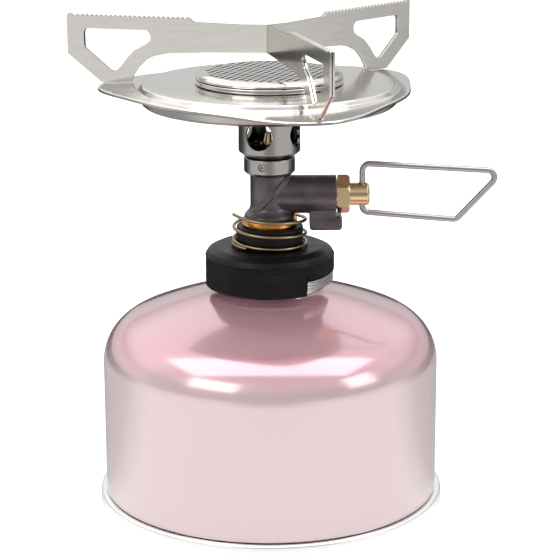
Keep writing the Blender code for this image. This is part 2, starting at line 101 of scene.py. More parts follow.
room = {
    # sine of the elevation, brightness
    "sky": [(0.0, 0.50), (0.20, 0.72), (0.27, 0.50), (0.36, 0.90), (0.48, 1.2), (0.75, 1.2), (1.0, 0.8)],
    "sides": [(0.0, 1.15), (0.5, 1.0), (1.0, 0.85)],  # left, middle, right
    "depth": [(0.0, 0.50), (0.42, 0.58), (0.58, 1.0), (1.0, 1.0)],  # front to back
    "turn": [(0.0, 0.42), (0.08, 0.55), (0.16, 0.92), (0.50, 0.90), (0.58, 0.34), (0.68, 0.08), (1.0, 0.05)],
    "nearTurn": [(0.0, 1.1), (0.44, 1.1), (0.58, 0.55), (1.0, 0.3)],
    "near": (0.24, 0.33),  # the floor shines evenly up to the first distance and by turn from the second
    "paper": 0.93, "white": 0.5, "floorRadius": 3.0, "floorZ": -0.0001, "floorSides": 96,
}


# room and floor, white to the eye; what shines off the metal is a grey sky and a floor that darkens towards
# the back, as when dark cards stand behind a table
def makeRoom(values):
    world = bpy.data.worlds.new("studio")
    scene.world = world
    world.use_nodes = True
    nodes, links = world.node_tree.nodes, world.node_tree.links
    split = nodes.new("ShaderNodeSeparateXYZ")
    links.new(nodes.new("ShaderNodeTexCoord").outputs["Generated"], split.inputs[0])
    sky = nodes.new("ShaderNodeValToRGB")
    setRamp(sky, [(at, (v, v, v)) for at, v in values["sky"]])
    links.new(split.outputs["Z"], sky.inputs[0])
    bright = sky.outputs[0]
    for axis, key in (("X", "sides"), ("Y", "depth")):
        across = nodes.new("ShaderNodeMapRange")
        across.inputs["From Min"].default_value = -1
        links.new(split.outputs[axis], across.inputs["Value"])
        curve = nodes.new("ShaderNodeFloatCurve")
        setCurve(curve, values[key])
        links.new(across.outputs["Result"], curve.inputs["Value"])
        product = nodes.new("ShaderNodeMath")
        product.operation = "MULTIPLY"
        links.new(bright, product.inputs[0])
        links.new(curve.outputs[0], product.inputs[1])
        bright = product.outputs[0]
    seen = nodes.new("ShaderNodeMix")
    links.new(nodes.new("ShaderNodeLightPath").outputs["Is Camera Ray"], seen.inputs["Factor"])
    links.new(bright, seen.inputs["A"])
    seen.inputs["B"].default_value = 1.0
    links.new(seen.outputs["Result"], nodes["Background"].inputs["Strength"])
    nodes["Background"].inputs["Color"].default_value = (1, 1, 1, 1)

    floorMesh = bpy.data.meshes.new("floor")
    sides, radius = values["floorSides"], values["floorRadius"]
    turns = np.linspace(0, 2 * np.pi, sides, endpoint=False)
    rim = np.stack([radius * np.cos(turns), radius * np.sin(turns), np.full(sides, values["floorZ"])], 1)
    floorMesh.from_pydata(rim.tolist(), [], [list(range(sides))])
    floor = bpy.data.objects.new("floor", floorMesh)
    scene.collection.objects.link(floor)
    paper = Finish("floorPaper", (values["paper"],) * 3, 0.0, 0.9)
    paper.set(Specular_IOR_Level=0.1)
    parts = paper.nodes.new("ShaderNodeSeparateXYZ")
    paper.links.new(paper.where, parts.inputs[0])
    angle = paper.math("ARCTAN2", parts.outputs["X"], paper.math("MULTIPLY", parts.outputs["Y"], -1.0))
    away = paper.math("DIVIDE", paper.math("ABSOLUTE", angle), math.pi)
    curves = []
    for key in ("turn", "nearTurn"):
        node = paper.nodes.new("ShaderNodeFloatCurve")
        setCurve(node, values[key])
        paper.links.new(away, node.inputs["Value"])
        curves.append(node.outputs[0])
    near = paper.spread(paper.radius(), 1.0, 0.0, *values["near"])
    shine = paper.math("MULTIPLY_ADD", near, paper.math("SUBTRACT", curves[1], curves[0]), curves[0])
    glossy = paper.nodes.new("ShaderNodeEmission")
    paper.links.new(shine, glossy.inputs["Strength"])
    rays = paper.nodes.new("ShaderNodeLightPath")
    paper.set(Emission_Color=(1, 1, 1, 1))
    white = paper.math("MULTIPLY", rays.outputs["Is Camera Ray"], values["white"])
    paper.links.new(white, paper.shader.inputs["Emission Strength"])
    choice = paper.nodes.new("ShaderNodeMixShader")
    paper.links.new(rays.outputs["Is Glossy Ray"], choice.inputs[0])
    paper.links.new(paper.shader.outputs[0], choice.inputs[1])
    paper.links.new(glossy.outputs[0], choice.inputs[2])
    paper.links.new(choice.outputs[0], paper.nodes["Material Output"].inputs["Surface"])
    floorMesh.materials.append(paper.material)


# a curve of straight lines through points (from, to)
def setCurve(node, points):
    curve = node.mapping.curves[0]
    while len(curve.points) < len(points):
        curve.points.new(0.5, 0.5)
    for point, place in zip(curve.points, points):
        point.location = place
        point.handle_type = "VECTOR"
    node.mapping.use_clip = False
    node.mapping.update()


# a colour ramp through stops (position, colour)
def setRamp(ramp, stops):
    while len(ramp.color_ramp.elements) < len(stops):
        ramp.color_ramp.elements.new(0.5)
    for element, (at, colour) in zip(ramp.color_ramp.elements, stops):
        element.position = at
        element.color = (*colour, 1)


# surfaces


# quads (i, j), (i+1, j), (i+1, j+1), (i, j+1) of a grid; a wrapped direction closes on itself
def gridFaces(rows, columns, wrapRows, wrapColumns):
    i, j = np.meshgrid(np.arange(rows if wrapRows else rows - 1),
                       np.arange(columns if wrapColumns else columns - 1), indexing="ij")
    nextI, nextJ = (i + 1) % rows, (j + 1) % columns
    corners = [i * columns + j, nextI * columns + j, nextI * columns + nextJ, i * columns + nextJ]
    return np.stack(corners, -1).reshape(-1, 4).tolist()


# a mesh from points (x, y, z) about the stove's axis, its poles merged and its faces pointing outwards
def meshOf(name, points, faces, sharp=38):
    mesh = bpy.data.meshes.new(name)
    mesh.from_pydata((points * mm + axisPlace).tolist(), [], faces)
    cleaned = bmesh.new()
    cleaned.from_mesh(mesh)
    bmesh.ops.remove_doubles(cleaned, verts=cleaned.verts, dist=1e-6)
    bmesh.ops.dissolve_degenerate(cleaned, edges=cleaned.edges, dist=1e-7)
    bmesh.ops.recalc_face_normals(cleaned, faces=cleaned.faces)
    cleaned.to_mesh(mesh)
    cleaned.free()
    shadeMesh(mesh, sharp)
    return mesh


# smooth, with an edge sharp where its faces meet at more than sharp degrees
def shadeMesh(mesh, sharp):
    mesh.shade_smooth()
    if sharp < 180:
        mesh.set_sharp_from_angle(angle=math.radians(sharp))


# a mesh as one piece: it moves with that body, has that material and stands for the named node of the frame
def piece(name, mesh, material, body, replaced):
    obj = bpy.data.objects.new(name, mesh)
    scene.collection.objects.link(obj)
    mesh.materials.clear()
    mesh.materials.append(material)
    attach(obj, body)
    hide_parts(replaced)
    return obj


# corners (radius, height, rounding): each corner becomes an arc that touches both its sides
def fillet(corners, closed=True, steps=5):
    count = len(corners)
    made = []
    for k, corner in enumerate(corners):
        here = np.array(corner[:2], float)
        if len(corner) < 3 or corner[2] <= 0 or (not closed and k in (0, count - 1)):
            made.append(here)
            continue
        before, after = (np.array(corners[(k + d) % count][:2], float) - here for d in (-1, 1))
        lengths = np.linalg.norm(before), np.linalg.norm(after)
        before, after = before / lengths[0], after / lengths[1]
        half = math.acos(np.clip(before @ after, -1, 1)) / 2
        if half > math.pi / 2 - 0.02:
            made.append(here)
            continue
        reach = min(corner[2] / math.tan(half), 0.49 * lengths[0], 0.49 * lengths[1])
        radius = reach * math.tan(half)
        middle = (before + after) / np.linalg.norm(before + after)
        centre = here + middle * radius / math.sin(half)
        first = here + before * reach - centre
        sweep = math.pi - 2 * half
        sign = np.sign(before[0] * after[1] - before[1] * after[0])
        for t in np.linspace(0, -sign * sweep, steps):
            made.append(centre + np.array((first[0] * math.cos(t) - first[1] * math.sin(t),
                                           first[0] * math.sin(t) + first[1] * math.cos(t))))
    return np.array(made)


# two points are put close to the ends of every long straight, so that smooth shading stays in the corners
def held(profile, closed=True, gap=0.12):
    profile = np.asarray(profile, float)
    ahead = np.roll(profile, -1, axis=0) - profile
    length = np.linalg.norm(ahead, axis=1, keepdims=True)
    isLong = length[:, 0] > 8 * gap
    if not closed:
        isLong[-1] = False
    step = ahead * gap / np.maximum(length, gap)
    points = np.stack([profile, profile + step, profile + ahead - step], 1)
    return points[np.stack([np.ones_like(isLong), isLong, isLong], 1)]


# centre + radius (cos a, sin a), for a from start to end
def arcPoints(centre, radius, start, end, count):
    a = np.radians(np.linspace(start, end, count))
    return np.stack([centre[0] + radius * np.cos(a), centre[1] + radius * np.sin(a)], 1)


# (r cos t, r sin t, z) for every profile point (r, z) and every turn t; about a valve arm at the height armZ
# the same profile gives (z, r sin t, armZ + r cos t)
def turnedMesh(name, profile, around=96, sharp=38, hold=True, armZ=None):
    profile = np.asarray(profile, float)
    onAxis = profile[0, 0] < 1e-6 and profile[-1, 0] < 1e-6
    if hold:
        profile = held(profile, not onAxis)
    t = np.linspace(0, 2 * np.pi, around, endpoint=False)[:, None]
    r, z = profile[None, :, 0], profile[None, :, 1]
    across, up = r * np.sin(t), r * np.cos(t)
    parts = (up, across, z) if armZ is None else (z, across, armZ + up)
    points = np.stack(np.broadcast_arrays(*parts), -1).reshape(-1, 3)
    return meshOf(name, points, gridFaces(around, len(profile), True, not onAxis), sharp)


# a circle of that radius carried along the path on frames that never twist; both ends are capped
def tubeMesh(name, path, radius, sides):
    path = np.asarray(path, float)
    ahead = np.gradient(path, axis=0)
    ahead /= np.linalg.norm(ahead, axis=1, keepdims=True)
    side = np.zeros_like(path)
    side[0] = np.cross(ahead[0], (0.3, 0.9, 0.31))
    side[0] /= np.linalg.norm(side[0])
    for k in range(1, len(path)):
        turned = side[k - 1] - ahead[k] * (side[k - 1] @ ahead[k])
        side[k] = turned / np.linalg.norm(turned)
    up = np.cross(ahead, side)
    t = np.linspace(0, 2 * np.pi, sides, endpoint=False)
    circle = np.cos(t)[None, :, None] * side[:, None] + np.sin(t)[None, :, None] * up[:, None]
    points = np.concatenate([(path[:, None] + radius * circle).reshape(-1, 3), path[:1], path[-1:]])
    start, last = len(points) - 2, (len(path) - 1) * sides
    caps = [[start, (k + 1) % sides, k] for k in range(sides)]
    caps += [[start + 1, last + k, last + (k + 1) % sides] for k in range(sides)]
    return meshOf(name, points, gridFaces(len(path), sides, False, True) + caps)


# a straight bar between two points; tip is its other radius if it is a cone, few sides make it a prism and
# spin turns it about its own length
def barMesh(name, start, end, radius, sides=64, tip=None, spin=0.0):
    start, end = Vector(start) * mm + Vector(axisPlace), Vector(end) * mm + Vector(axisPlace)
    along = end - start
    place = Matrix.Translation((start + end) / 2) @ along.to_track_quat("Z", "Y").to_matrix().to_4x4()
    made = bmesh.new()
    bmesh.ops.create_cone(made, cap_ends=True, segments=sides, radius1=radius * mm,
                          radius2=(radius if tip is None else tip) * mm, depth=along.length,
                          matrix=place @ Matrix.Rotation(math.radians(spin), 4, "Z"))
    mesh = bpy.data.meshes.new(name)
    made.to_mesh(mesh)
    made.free()
    return mesh


# a box between two corners with rounded edges, turned about its own middle by a matrix
def boxMesh(name, low, high, rounding=0.0, tilt=None):
    made = bmesh.new()
    bmesh.ops.create_cube(made, size=1)
    size = [(b - a) * mm for a, b in zip(low, high)]
    centre = Vector([(a + b) / 2 * mm for a, b in zip(low, high)]) + Vector(axisPlace)
    place = Matrix.Translation(centre) @ (tilt or Matrix.Identity(4)) @ Matrix.Diagonal((*size, 1))
    bmesh.ops.transform(made, matrix=place, verts=made.verts)
    if rounding:
        bmesh.ops.bevel(made, geom=made.edges[:], offset=rounding * mm, segments=4, affect="EDGES",
                        profile=0.5)
    mesh = bpy.data.meshes.new(name)
    made.to_mesh(mesh)
    made.free()
    return mesh


# base mesh joined with, cut by or kept inside other meshes, then finished with modifiers; all applied, and
# smooth where faces meet at less than sharp degrees
def combined(name, base, steps, finishing=(), sharp=180):
    work = bpy.data.objects.new(name + "Work", base)
    scene.collection.objects.link(work)
    helpers = []
    for operation, mesh in steps:
        helper = bpy.data.objects.new("helper", mesh)
        scene.collection.objects.link(helper)
        helpers.append(helper)
        step = work.modifiers.new(operation, "BOOLEAN")
        step.operation = operation
        step.solver = "EXACT"
        step.object = helper
    for kind, settings in finishing:
        modifier = work.modifiers.new(kind, kind)
        for key, value in settings.items():
            setattr(modifier, key, value)
    bpy.context.view_layer.update()
    mesh = bpy.data.meshes.new_from_object(work.evaluated_get(bpy.context.evaluated_depsgraph_get()))
    mesh.name = name
    for gone in [work, *helpers]:
        bpy.data.objects.remove(gone, do_unlink=True)
    shadeMesh(mesh, sharp)
    return mesh


# (radius cos a, radius sin a, z)
def polarPoint(radius, degrees, z):
    a = math.radians(degrees)
    return (radius * math.cos(a), radius * math.sin(a), z)


# materials


# a procedural material on Object coordinates: helpers that chain noise, bands and bump
class Finish:
    def __init__(self, name, colour, metallic, roughness):
        self.material = bpy.data.materials.new(name)
        self.material.use_nodes = True
        self.nodes, self.links = self.material.node_tree.nodes, self.material.node_tree.links
        self.shader = self.nodes["Principled BSDF"]
        self.shader.inputs["Base Color"].default_value = (*colour, 1)
        self.shader.inputs["Metallic"].default_value = metallic
        self.shader.inputs["Roughness"].default_value = roughness
        self.where = self.nodes.new("ShaderNodeTexCoord").outputs["Object"]
        self.bump = None

    # object coordinates measured from the stove's axis, then multiplied by scale
    def centred(self, scale=(1, 1, 1)):
        shift = self.nodes.new("ShaderNodeMapping")
        shift.inputs["Location"].default_value = (-axisX, -axisY, 0)
        self.links.new(self.where, shift.inputs["Vector"])
        stretch = self.nodes.new("ShaderNodeMapping")
        stretch.inputs["Scale"].default_value = scale
        self.links.new(shift.outputs["Vector"], stretch.inputs["Vector"])
        return stretch.outputs["Vector"]

    # operation(first, second, third), each a number or a socket
    def math(self, operation, first, second=None, third=None):
        node = self.nodes.new("ShaderNodeMath")
        node.operation = operation
        for socket, value in zip(node.inputs, (first, second, third)):
            if value is None:
                continue
            if isinstance(value, (int, float)):
                socket.default_value = value
            else:
                self.links.new(value, socket)
        return node.outputs[0]

    # cloudy noise of so many cells a metre, 0 to 1; a stretch below 1 lengthens the cells on that axis
    def noise(self, scale, detail, stretch=(1, 1, 1)):
        node = self.nodes.new("ShaderNodeTexNoise")
        node.inputs["Scale"].default_value = scale
        node.inputs["Detail"].default_value = detail
        node.inputs["Roughness"].default_value = 0.55
        self.links.new(self.centred(stretch), node.inputs["Vector"])
        return node.outputs["Fac"]

    # distance from the stove's axis, the root of x squared + y squared
    def radius(self):
        parts = self.nodes.new("ShaderNodeSeparateXYZ")
        self.links.new(self.centred(), parts.inputs[0])
        squares = [self.math("MULTIPLY", parts.outputs[k], parts.outputs[k]) for k in ("X", "Y")]
        return self.math("SQRT", self.math("ADD", *squares))

    # z in metres
    def height(self):
        parts = self.nodes.new("ShaderNodeSeparateXYZ")
        self.links.new(self.where, parts.inputs[0])
        return parts.outputs["Z"]

    # noise that only changes with one value: turned or rolled lines
    def lines(self, value, detail, scale, seed=0.0):
        join = self.nodes.new("ShaderNodeCombineXYZ")
        self.links.new(value, join.inputs["X"])
        join.inputs["Y"].default_value = seed
        node = self.nodes.new("ShaderNodeTexNoise")
        node.inputs["Scale"].default_value = scale
        node.inputs["Detail"].default_value = detail
        node.inputs["Roughness"].default_value = 0.6
        self.links.new(join.outputs[0], node.inputs["Vector"])
        return node.outputs["Fac"]

    # low at start, high at end, straight between them and level outside
    def spread(self, value, low, high, start=0.3, end=0.7):
        node = self.nodes.new("ShaderNodeMapRange")
        self.links.new(value, node.inputs["Value"])
        for key, number in (("From Min", start), ("From Max", end), ("To Min", low), ("To Max", high)):
            node.inputs[key].default_value = number
        return node.outputs["Result"]

    def rough(self, value, low, high):
        self.links.new(self.spread(value, low, high), self.shader.inputs["Roughness"])

    # base colour looked up on a ramp of stops (value, colour)
    def tint(self, value, stops):
        ramp = self.nodes.new("ShaderNodeValToRGB")
        setRamp(ramp, stops)
        self.links.new(value, ramp.inputs[0])
        self.links.new(ramp.outputs[0], self.shader.inputs["Base Color"])

    # bump of so many metres; each one rides on the one before
    def relief(self, value, distance, strength):
        node = self.nodes.new("ShaderNodeBump")
        node.inputs["Strength"].default_value = strength
        node.inputs["Distance"].default_value = distance
        self.links.new(value, node.inputs["Height"])
        if self.bump is not None:
            self.links.new(self.bump, node.inputs["Normal"])
        self.bump = node.outputs["Normal"]
        self.links.new(self.bump, self.shader.inputs["Normal"])

    # shader sockets by name, with _ for each space
    def set(self, **values):
        for key, value in values.items():
            self.shader.inputs[key.replace("_", " ")].default_value = value


# colour times factor, no brighter than 1
def shade(colour, factor):
    return tuple(min(1.0, c * factor) for c in colour)


makeCamera(camera)
makeLamps(lamps)
makeRoom(room)
scene.view_settings.view_transform = "Standard"
print("camera, lamps and floor made")

# the lacquer goes from the wall's colour, paled by a painted reflection of the white floor, to the dome's
# between the two heights of fade, in metres
pinkLacquerAndPaintedReflection = {
    "colour": (0.66, 0.385, 0.435), "wall": (0.70, 0.56, 0.575), "fade": (0.046, 0.058),
    "roughness": (0.16, 0.24), "metallic": 0.45, "coat": 1.0,
}
tinPlate = {"colour": (0.96, 0.96, 0.95), "roughness": (0.24, 0.38)}
polishedSteel = {"colour": (0.76, 0.74, 0.705), "roughness": (0.10, 0.20)}
dullSteel = {"colour": (0.46, 0.445, 0.42), "roughness": (0.14, 0.24)}
satinSteel = {"colour": (0.70, 0.675, 0.635), "roughness": (0.13, 0.24)}
nickelPlate = {"colour": (0.41, 0.395, 0.38), "roughness": (0.14, 0.24)}
blackAnodised = {"colour": (0.0045, 0.0036, 0.0045), "roughness": (0.30, 0.42)}
blackCasting = {"colour": (0.095, 0.079, 0.088), "roughness": (0.24, 0.38), "metallic": 0.7}
yellowBrass = {"colour": (0.74, 0.57, 0.33), "roughness": (0.14, 0.26)}
copperBrass = {"colour": (0.72, 0.36, 0.10), "roughness": (0.18, 0.30)}
springWire = {"colour": (0.36, 0.29, 0.17), "roughness": (0.20, 0.32)}
wireSteel = {"colour": (0.44, 0.43, 0.41), "roughness": (0.22, 0.34)}


# glossy lacquer over bright steel: deeper on the dome and paler down the wall, where the paleness is a painted
# reflection of the white floor; with a faint orange-peel and small cloudy rubs
def makePinkPaint(values):
    finish = Finish("pinkPaint", values["colour"], values["metallic"], 0.2)
    low, high = values["fade"]
    rise = finish.spread(finish.height(), 0.0, 0.7, low, high)
    cloud = finish.math("MULTIPLY_ADD", finish.noise(9, 2), 0.3, rise)
    wall, dome = values["wall"], values["colour"]
    # painted reflection: the wall's pale stops stand in for the white floor shining off the lower wall
    finish.tint(cloud, [(0.08, shade(wall, 0.98)), (0.24, shade(wall, 1.02)), (0.78, shade(dome, 0.98)),
                        (0.94, shade(dome, 1.04))])
    finish.rough(finish.noise(60, 4), *values["roughness"])
    finish.relief(finish.noise(900, 2), 0.00002, 0.12)
    finish.relief(finish.noise(45, 2), 0.0003, 0.03)
    finish.set(Coat_Weight=values["coat"], Coat_Roughness=0.05)
    return finish.material


# turned or spun metal: fine lines that follow the lathe, with cloudy roughness. Inside the radius shadedInside
# and under the height below, in millimetres, it is nearly black: painted shade for the dark inside of a bore,
# hole or burner
def makeTurned(name, values, lineScale, along="radius", strength=0.35, shadedInside=None, below=9999.0):
    finish = Finish(name, values["colour"], 1.0, 0.25)
    way = finish.radius() if along == "radius" else finish.height()
    fine = finish.lines(way, 4, lineScale)
    cloud = finish.noise(55, 4)
    mixed = finish.math("ADD", finish.math("MULTIPLY", fine, 0.6), finish.math("MULTIPLY", cloud, 0.4))
    finish.rough(mixed, *values["roughness"])
    base = values["colour"]
    stops = [(0.3, shade(base, 0.93)), (0.7, shade(base, 1.05))]
    # painted shade: inside that radius and under that height the colour drops nearly to black, for the shade in
    # a recess
    if shadedInside:
        inside = finish.spread(finish.radius(), -1.0, 0.0, shadedInside * mm - 0.0002, shadedInside * mm)
        under = finish.spread(finish.height(), 1.0, 0.0, below * mm - 0.00002, below * mm)
        mixed = finish.math("ADD", mixed, finish.math("MULTIPLY", inside, under))
        stops = [(0.0, shade(base, 0.10)), (0.12, shade(base, 0.16)), *stops]
    finish.tint(mixed, stops)
    finish.relief(fine, 0.00002, strength)
    return finish.material


# cold-rolled sheet: long streaks along the blade and scattered rub marks
def makeRolled(name, values):
    finish = Finish(name, values["colour"], 1.0, 0.3)
    streak = finish.lines(finish.height(), 5, 5200, 3.0)
    cloud = finish.noise(40, 5)
    rubs = finish.noise(420, 3, (0.25, 0.25, 2.2))
    mixed = finish.math("ADD", finish.math("MULTIPLY", streak, 0.35), finish.math("MULTIPLY", cloud, 0.65))
    finish.rough(mixed, *values["roughness"])
    base = values["colour"]
    finish.tint(finish.math("ADD", finish.math("MULTIPLY", rubs, 0.4), finish.math("MULTIPLY", cloud, 0.6)),
                [(0.3, shade(base, 0.90)), (0.7, shade(base, 1.06))])
    finish.relief(streak, 0.00001, 0.25)
    finish.relief(rubs, 0.00001, 0.15)
    return finish.material


# painted casting: sand-cast grain with worn, slightly shinier high spots
def makeCast(values):
    finish = Finish("castBlack", values["colour"], values["metallic"], 0.3)
    base = values["colour"]
    cloud = finish.noise(160, 5)
    finish.tint(cloud, [(0.3, shade(base, 0.75)), (0.7, shade(base, 1.45))])
    finish.rough(cloud, *values["roughness"])
    finish.relief(finish.noise(1500, 3), 0.00008, 0.35)
    finish.relief(finish.noise(330, 3), 0.0002, 0.25)
    finish.set(Coat_Weight=0.2, Coat_Roughness=0.3, Specular_IOR_Level=0.5)
    return finish.material


# black anodised aluminium: dark and even, with dust-fine grain
def makeAnodised(values):
    finish = Finish("anodisedBlack", values["colour"], 0.0, 0.4)
    base = values["colour"]
    finish.tint(finish.noise(120, 4), [(0.3, shade(base, 0.8)), (0.7, shade(base, 1.5))])
    finish.rough(finish.noise(240, 4), *values["roughness"])
    finish.relief(finish.noise(2600, 2), 0.00003, 0.2)
    finish.set(Specular_IOR_Level=0.2)
    return finish.material


# rubber, nylon or sintered metal: matte with a fine grain
def makeSoft(name, colour, roughness, grain=800):
    finish = Finish(name, colour, 0.0, roughness)
    speck = finish.noise(grain, 3)
    finish.tint(speck, [(0.3, shade(colour, 0.85)), (0.7, shade(colour, 1.15))])
    finish.rough(speck, roughness - 0.08, min(1.0, roughness + 0.08))
    finish.relief(speck, 0.00004, 0.3)
    return finish.material


pinkPaint = makePinkPaint(pinkLacquerAndPaintedReflection)
tinBright = makeTurned("tinBright", tinPlate, 1500, along="height")
steelSpun = makeTurned("steelSpun", polishedSteel, 1900, strength=0.14)
# painted shade: the bowl is darkened inside radius 20.3, where it lies under its cap
steelShadedInside = makeTurned("steelShadedInside", polishedSteel, 1900, shadedInside=20.3)
# painted shade: the cap's hole walls are darkened under its top, inside radius 19.9
steelShadedHoles = makeTurned("steelShadedHoles", polishedSteel, 1900, shadedInside=19.9, below=137.96)
steelDark = makeTurned("steelDark", dullSteel, 1900)
# painted shade: the stem's bore is darkened inside radius 8.8
nickelShadedBore = makeTurned("nickelShadedBore", nickelPlate, 3000, along="height", shadedInside=8.8)
steelBlade = makeRolled("steelBlade", satinSteel)
nickelTurned = makeTurned("nickelTurned", nickelPlate, 3000, along="height")
anodised = makeAnodised(blackAnodised)
castBlack = makeCast(blackCasting)
brassTurned = makeTurned("brassTurned", yellowBrass, 2200)
brassLined = makeTurned("brassLined", copperBrass, 2600, along="height")
springSteel = makeTurned("springSteel", springWire, 900)
wireSatin = makeTurned("wireSatin", wireSteel, 700)
rubberBlack = makeSoft("rubberBlack", (0.02, 0.02, 0.02), 0.7)
nylonPale = makeSoft("nylonPale", (0.72, 0.71, 0.67), 0.5)
sinterBronze = makeSoft("sinterBronze", (0.30, 0.19, 0.10), 0.7, 3000)
print("materials made")

# the gas canister

threadPitch = 0.907  # of the canister's valve and of the brass insert that screws onto it


canister = {
    "radius": 52.95, "wallTop": 46.3, "shoulder": 15.2, "shoulderTurn": 67.0, "dome": 131.7, "neck": 16.3,
    "neckTop": 71.2, "sheet": 0.6, "wallFoot": 4.6, "around": 192,
}


# shoulder and dome arcs, both drawn in by inset: they share their centres
def domeArcs(values, inset):
    shoulder = (values["radius"] - values["shoulder"], values["wallTop"])
    turn = math.radians(values["shoulderTurn"])
    centre = (shoulder[0] + (values["shoulder"] - values["dome"]) * math.cos(turn),
              shoulder[1] + (values["shoulder"] - values["dome"]) * math.sin(turn))
    end = math.degrees(math.acos((values["neck"] + 1.1 - centre[0]) / values["dome"]))
    dome = arcPoints(centre, values["dome"] - inset, end, values["shoulderTurn"], 22)
    bend = arcPoints(shoulder, values["shoulder"] - inset, values["shoulderTurn"], 0, 26)[1:]
    return np.concatenate([dome, bend])


# straight wall, shoulder arc, wide dome arc and upstand, turned about the axis with a sheet-thick wall
def makeCanister(values):
    neck, sheet, out = values["neck"], values["sheet"], values["radius"]
    foot, high = values["wallFoot"], values["wallTop"]
    upstand = [(neck - sheet, values["neckTop"]), (neck, values["neckTop"]), (neck, 69.6), (neck + 0.3, 69.2)]
    wall = [(out, z) for z in np.linspace(high, foot, 14)[1:]]
    inside = [(out - sheet, z) for z in np.linspace(foot, high, 14)[:-1]]
    inner = domeArcs(values, sheet)[::-1]
    profile = np.concatenate([upstand, domeArcs(values, 0), wall, inside, inner, [(neck - sheet, 69.0)]])
    mesh = turnedMesh("canisterShell", profile, values["around"], hold=False)
    return piece("canisterShell", mesh, pinkPaint, "canister", "canister_body")


seam = {"outer": 55.0, "top": 4.3, "around": 192, "panel": 0.7, "rise": 12.0, "curve": 136.6}


# the double seam's rounded ring and the pressed-in bottom, as one closed turned profile
def makeSeam(values):
    rise, curve, top = values["rise"], values["curve"], values["top"]
    upper = arcPoints((0, rise - curve), curve, 90, 68.2, 20)
    under = arcPoints((0, rise - curve), curve - values["panel"], 68.2, 90, 20)
    ring = fillet([(50.73, 2.23), (51.5, 2.4, 0.3), (51.75, top, 0.5), (54.75, top, 0.9),
                   (values["outer"], 0.0, 0.7), (53.0, 0.0, 0.5), (52.2, 0.6, 0.4), (50.5, 1.4)],
                  closed=False, steps=6)
    profile = np.concatenate([upper, ring[1:-1], under])
    profile[0, 0] = profile[-1, 0] = 0
    mesh = turnedMesh("bottomSeam", profile, values["around"], 50, False)
    return piece("bottomSeam", mesh, tinBright, "canister", "canister_base")


cup = {
    "thread": (5.05, 5.55), "threadRows": (68.6, 76.6), "hole": 2.0, "top": 77.2, "floor": 67.3, "rim": 17.1,
    "rimTop": 72.2, "foot": 70.7, "sheet": 0.5,
}


# the crimped cup with its threaded collar, whose thread shows as fine rings
def makeValveCup(values):
    hole, top, floor, foot, t = (values[key] for key in ("hole", "top", "floor", "foot", "sheet"))
    rim, high = values["rim"], values["rimTop"]
    rows = np.arange(*values["threadRows"], threadPitch / 2)
    thread = [(values["thread"][k % 2], z) for k, z in enumerate(rows)][::-1]
    outer = [(hole, top), (5.0, top), (5.4, top - 0.3)] + thread + [(5.6, floor + 0.6), (6.1, floor)]
    outer += [(13.6, floor), (14.5, floor + 0.6), (14.8, high - 1.2), (15.1, high - 0.3), (15.7, high),
              (16.5, high - 0.2), (rim, high - 0.8), (rim, foot)]
    inner = [(rim - t, foot), (rim - t, high - 1.0), (16.2, high - 0.6), (15.7, high - t), (15.3, high - 0.8),
             (15.2, floor + 0.3), (14.0, floor - t), (5.8, floor - t), (4.9, floor + 0.3), (4.9, top - t),
             (hole, top - t)]
    mesh = turnedMesh("valveCup", np.array(outer + inner), 72, 30, False)
    return piece("valveCup", mesh, tinBright, "canister", "valve_cup")


makeCanister(canister)
makeSeam(seam)
makeValveCup(cup)
print("canister made")

# coupling, collar and spring


insert = {"radius": 7.7, "flange": 8.6, "lined": (89.95, 91.9), "pitch": 0.4, "depth": 0.14}


# brass insert: lined outer face and a threaded bore, as one turned profile
def makeInsert(values):
    out, wide = values["radius"], values["flange"]
    low, high = values["lined"]
    count = int(round((high - low) / values["pitch"] * 2))
    heights = np.linspace(high - 0.12, low + 0.1, count)
    lined = [(wide - values["depth"] * (k % 2), z) for k, z in enumerate(heights)]
    bore = [(6.2 if k % 2 else 5.9, z) for k, z in enumerate(np.arange(70.9, 79.2, threadPitch / 2))]
    profile = [(2.2, 93.9), (3.4, 93.9), (3.5, 93.8), (3.5, high), (wide - 0.15, high)] + lined
    profile += [(wide - 0.15, low), (out, low), (out, 70.4), (7.3, 70.0), (6.2, 70.0), (5.9, 70.4)] + bore
    profile += [(5.9, 79.6), (1.45, 79.6), (1.45, 89.2), (2.2, 89.2)]
    mesh = turnedMesh("threadInsert", np.array(profile), 72, 30, False)
    return piece("threadInsert", mesh, brassLined, "stove", "thread_insert")


sleeve = {"radius": 10.4, "top": 89.6, "flange": 15.5, "foot": 74.2}


# a plain sleeve with a wide flange at its foot, turned
def makeSleeve(values):
    out, top = values["radius"], values["top"]
    profile = fillet([(8.0, top), (out, top, 0.5), (out, 75.6, 0.4), (values["flange"], 75.6, 0.3),
                      (values["flange"], values["foot"], 0.3), (8.0, values["foot"])])
    mesh = turnedMesh("neckSleeve", profile, 96)
    return piece("neckSleeve", mesh, anodised, "stove", "neck_sleeve")


# 1 between the two angles and 0 outside them, with a ramp of edge degrees just inside each
def within(degrees, span, edge=0.35):
    middle = (span[0] + span[1]) / 2
    away = np.abs((degrees - middle + 180) % 360 - 180)
    return np.clip(((span[1] - span[0]) / 2 - away) / edge, 0, 1)


# a closed profile carried round the axis, where move(angle, r, z) says how it changes on the way
def sweptRing(name, profile, degrees, move):
    a = degrees[:, None]
    r, z = move(a, profile[None, :, 0], profile[None, :, 1])
    r, z, a = np.broadcast_arrays(r, z, np.radians(a))
    points = np.stack([r * np.cos(a), r * np.sin(a), z], -1).reshape(-1, 3)
    return meshOf(name, points, gridFaces(len(degrees), profile.shape[0], True, True), 30)


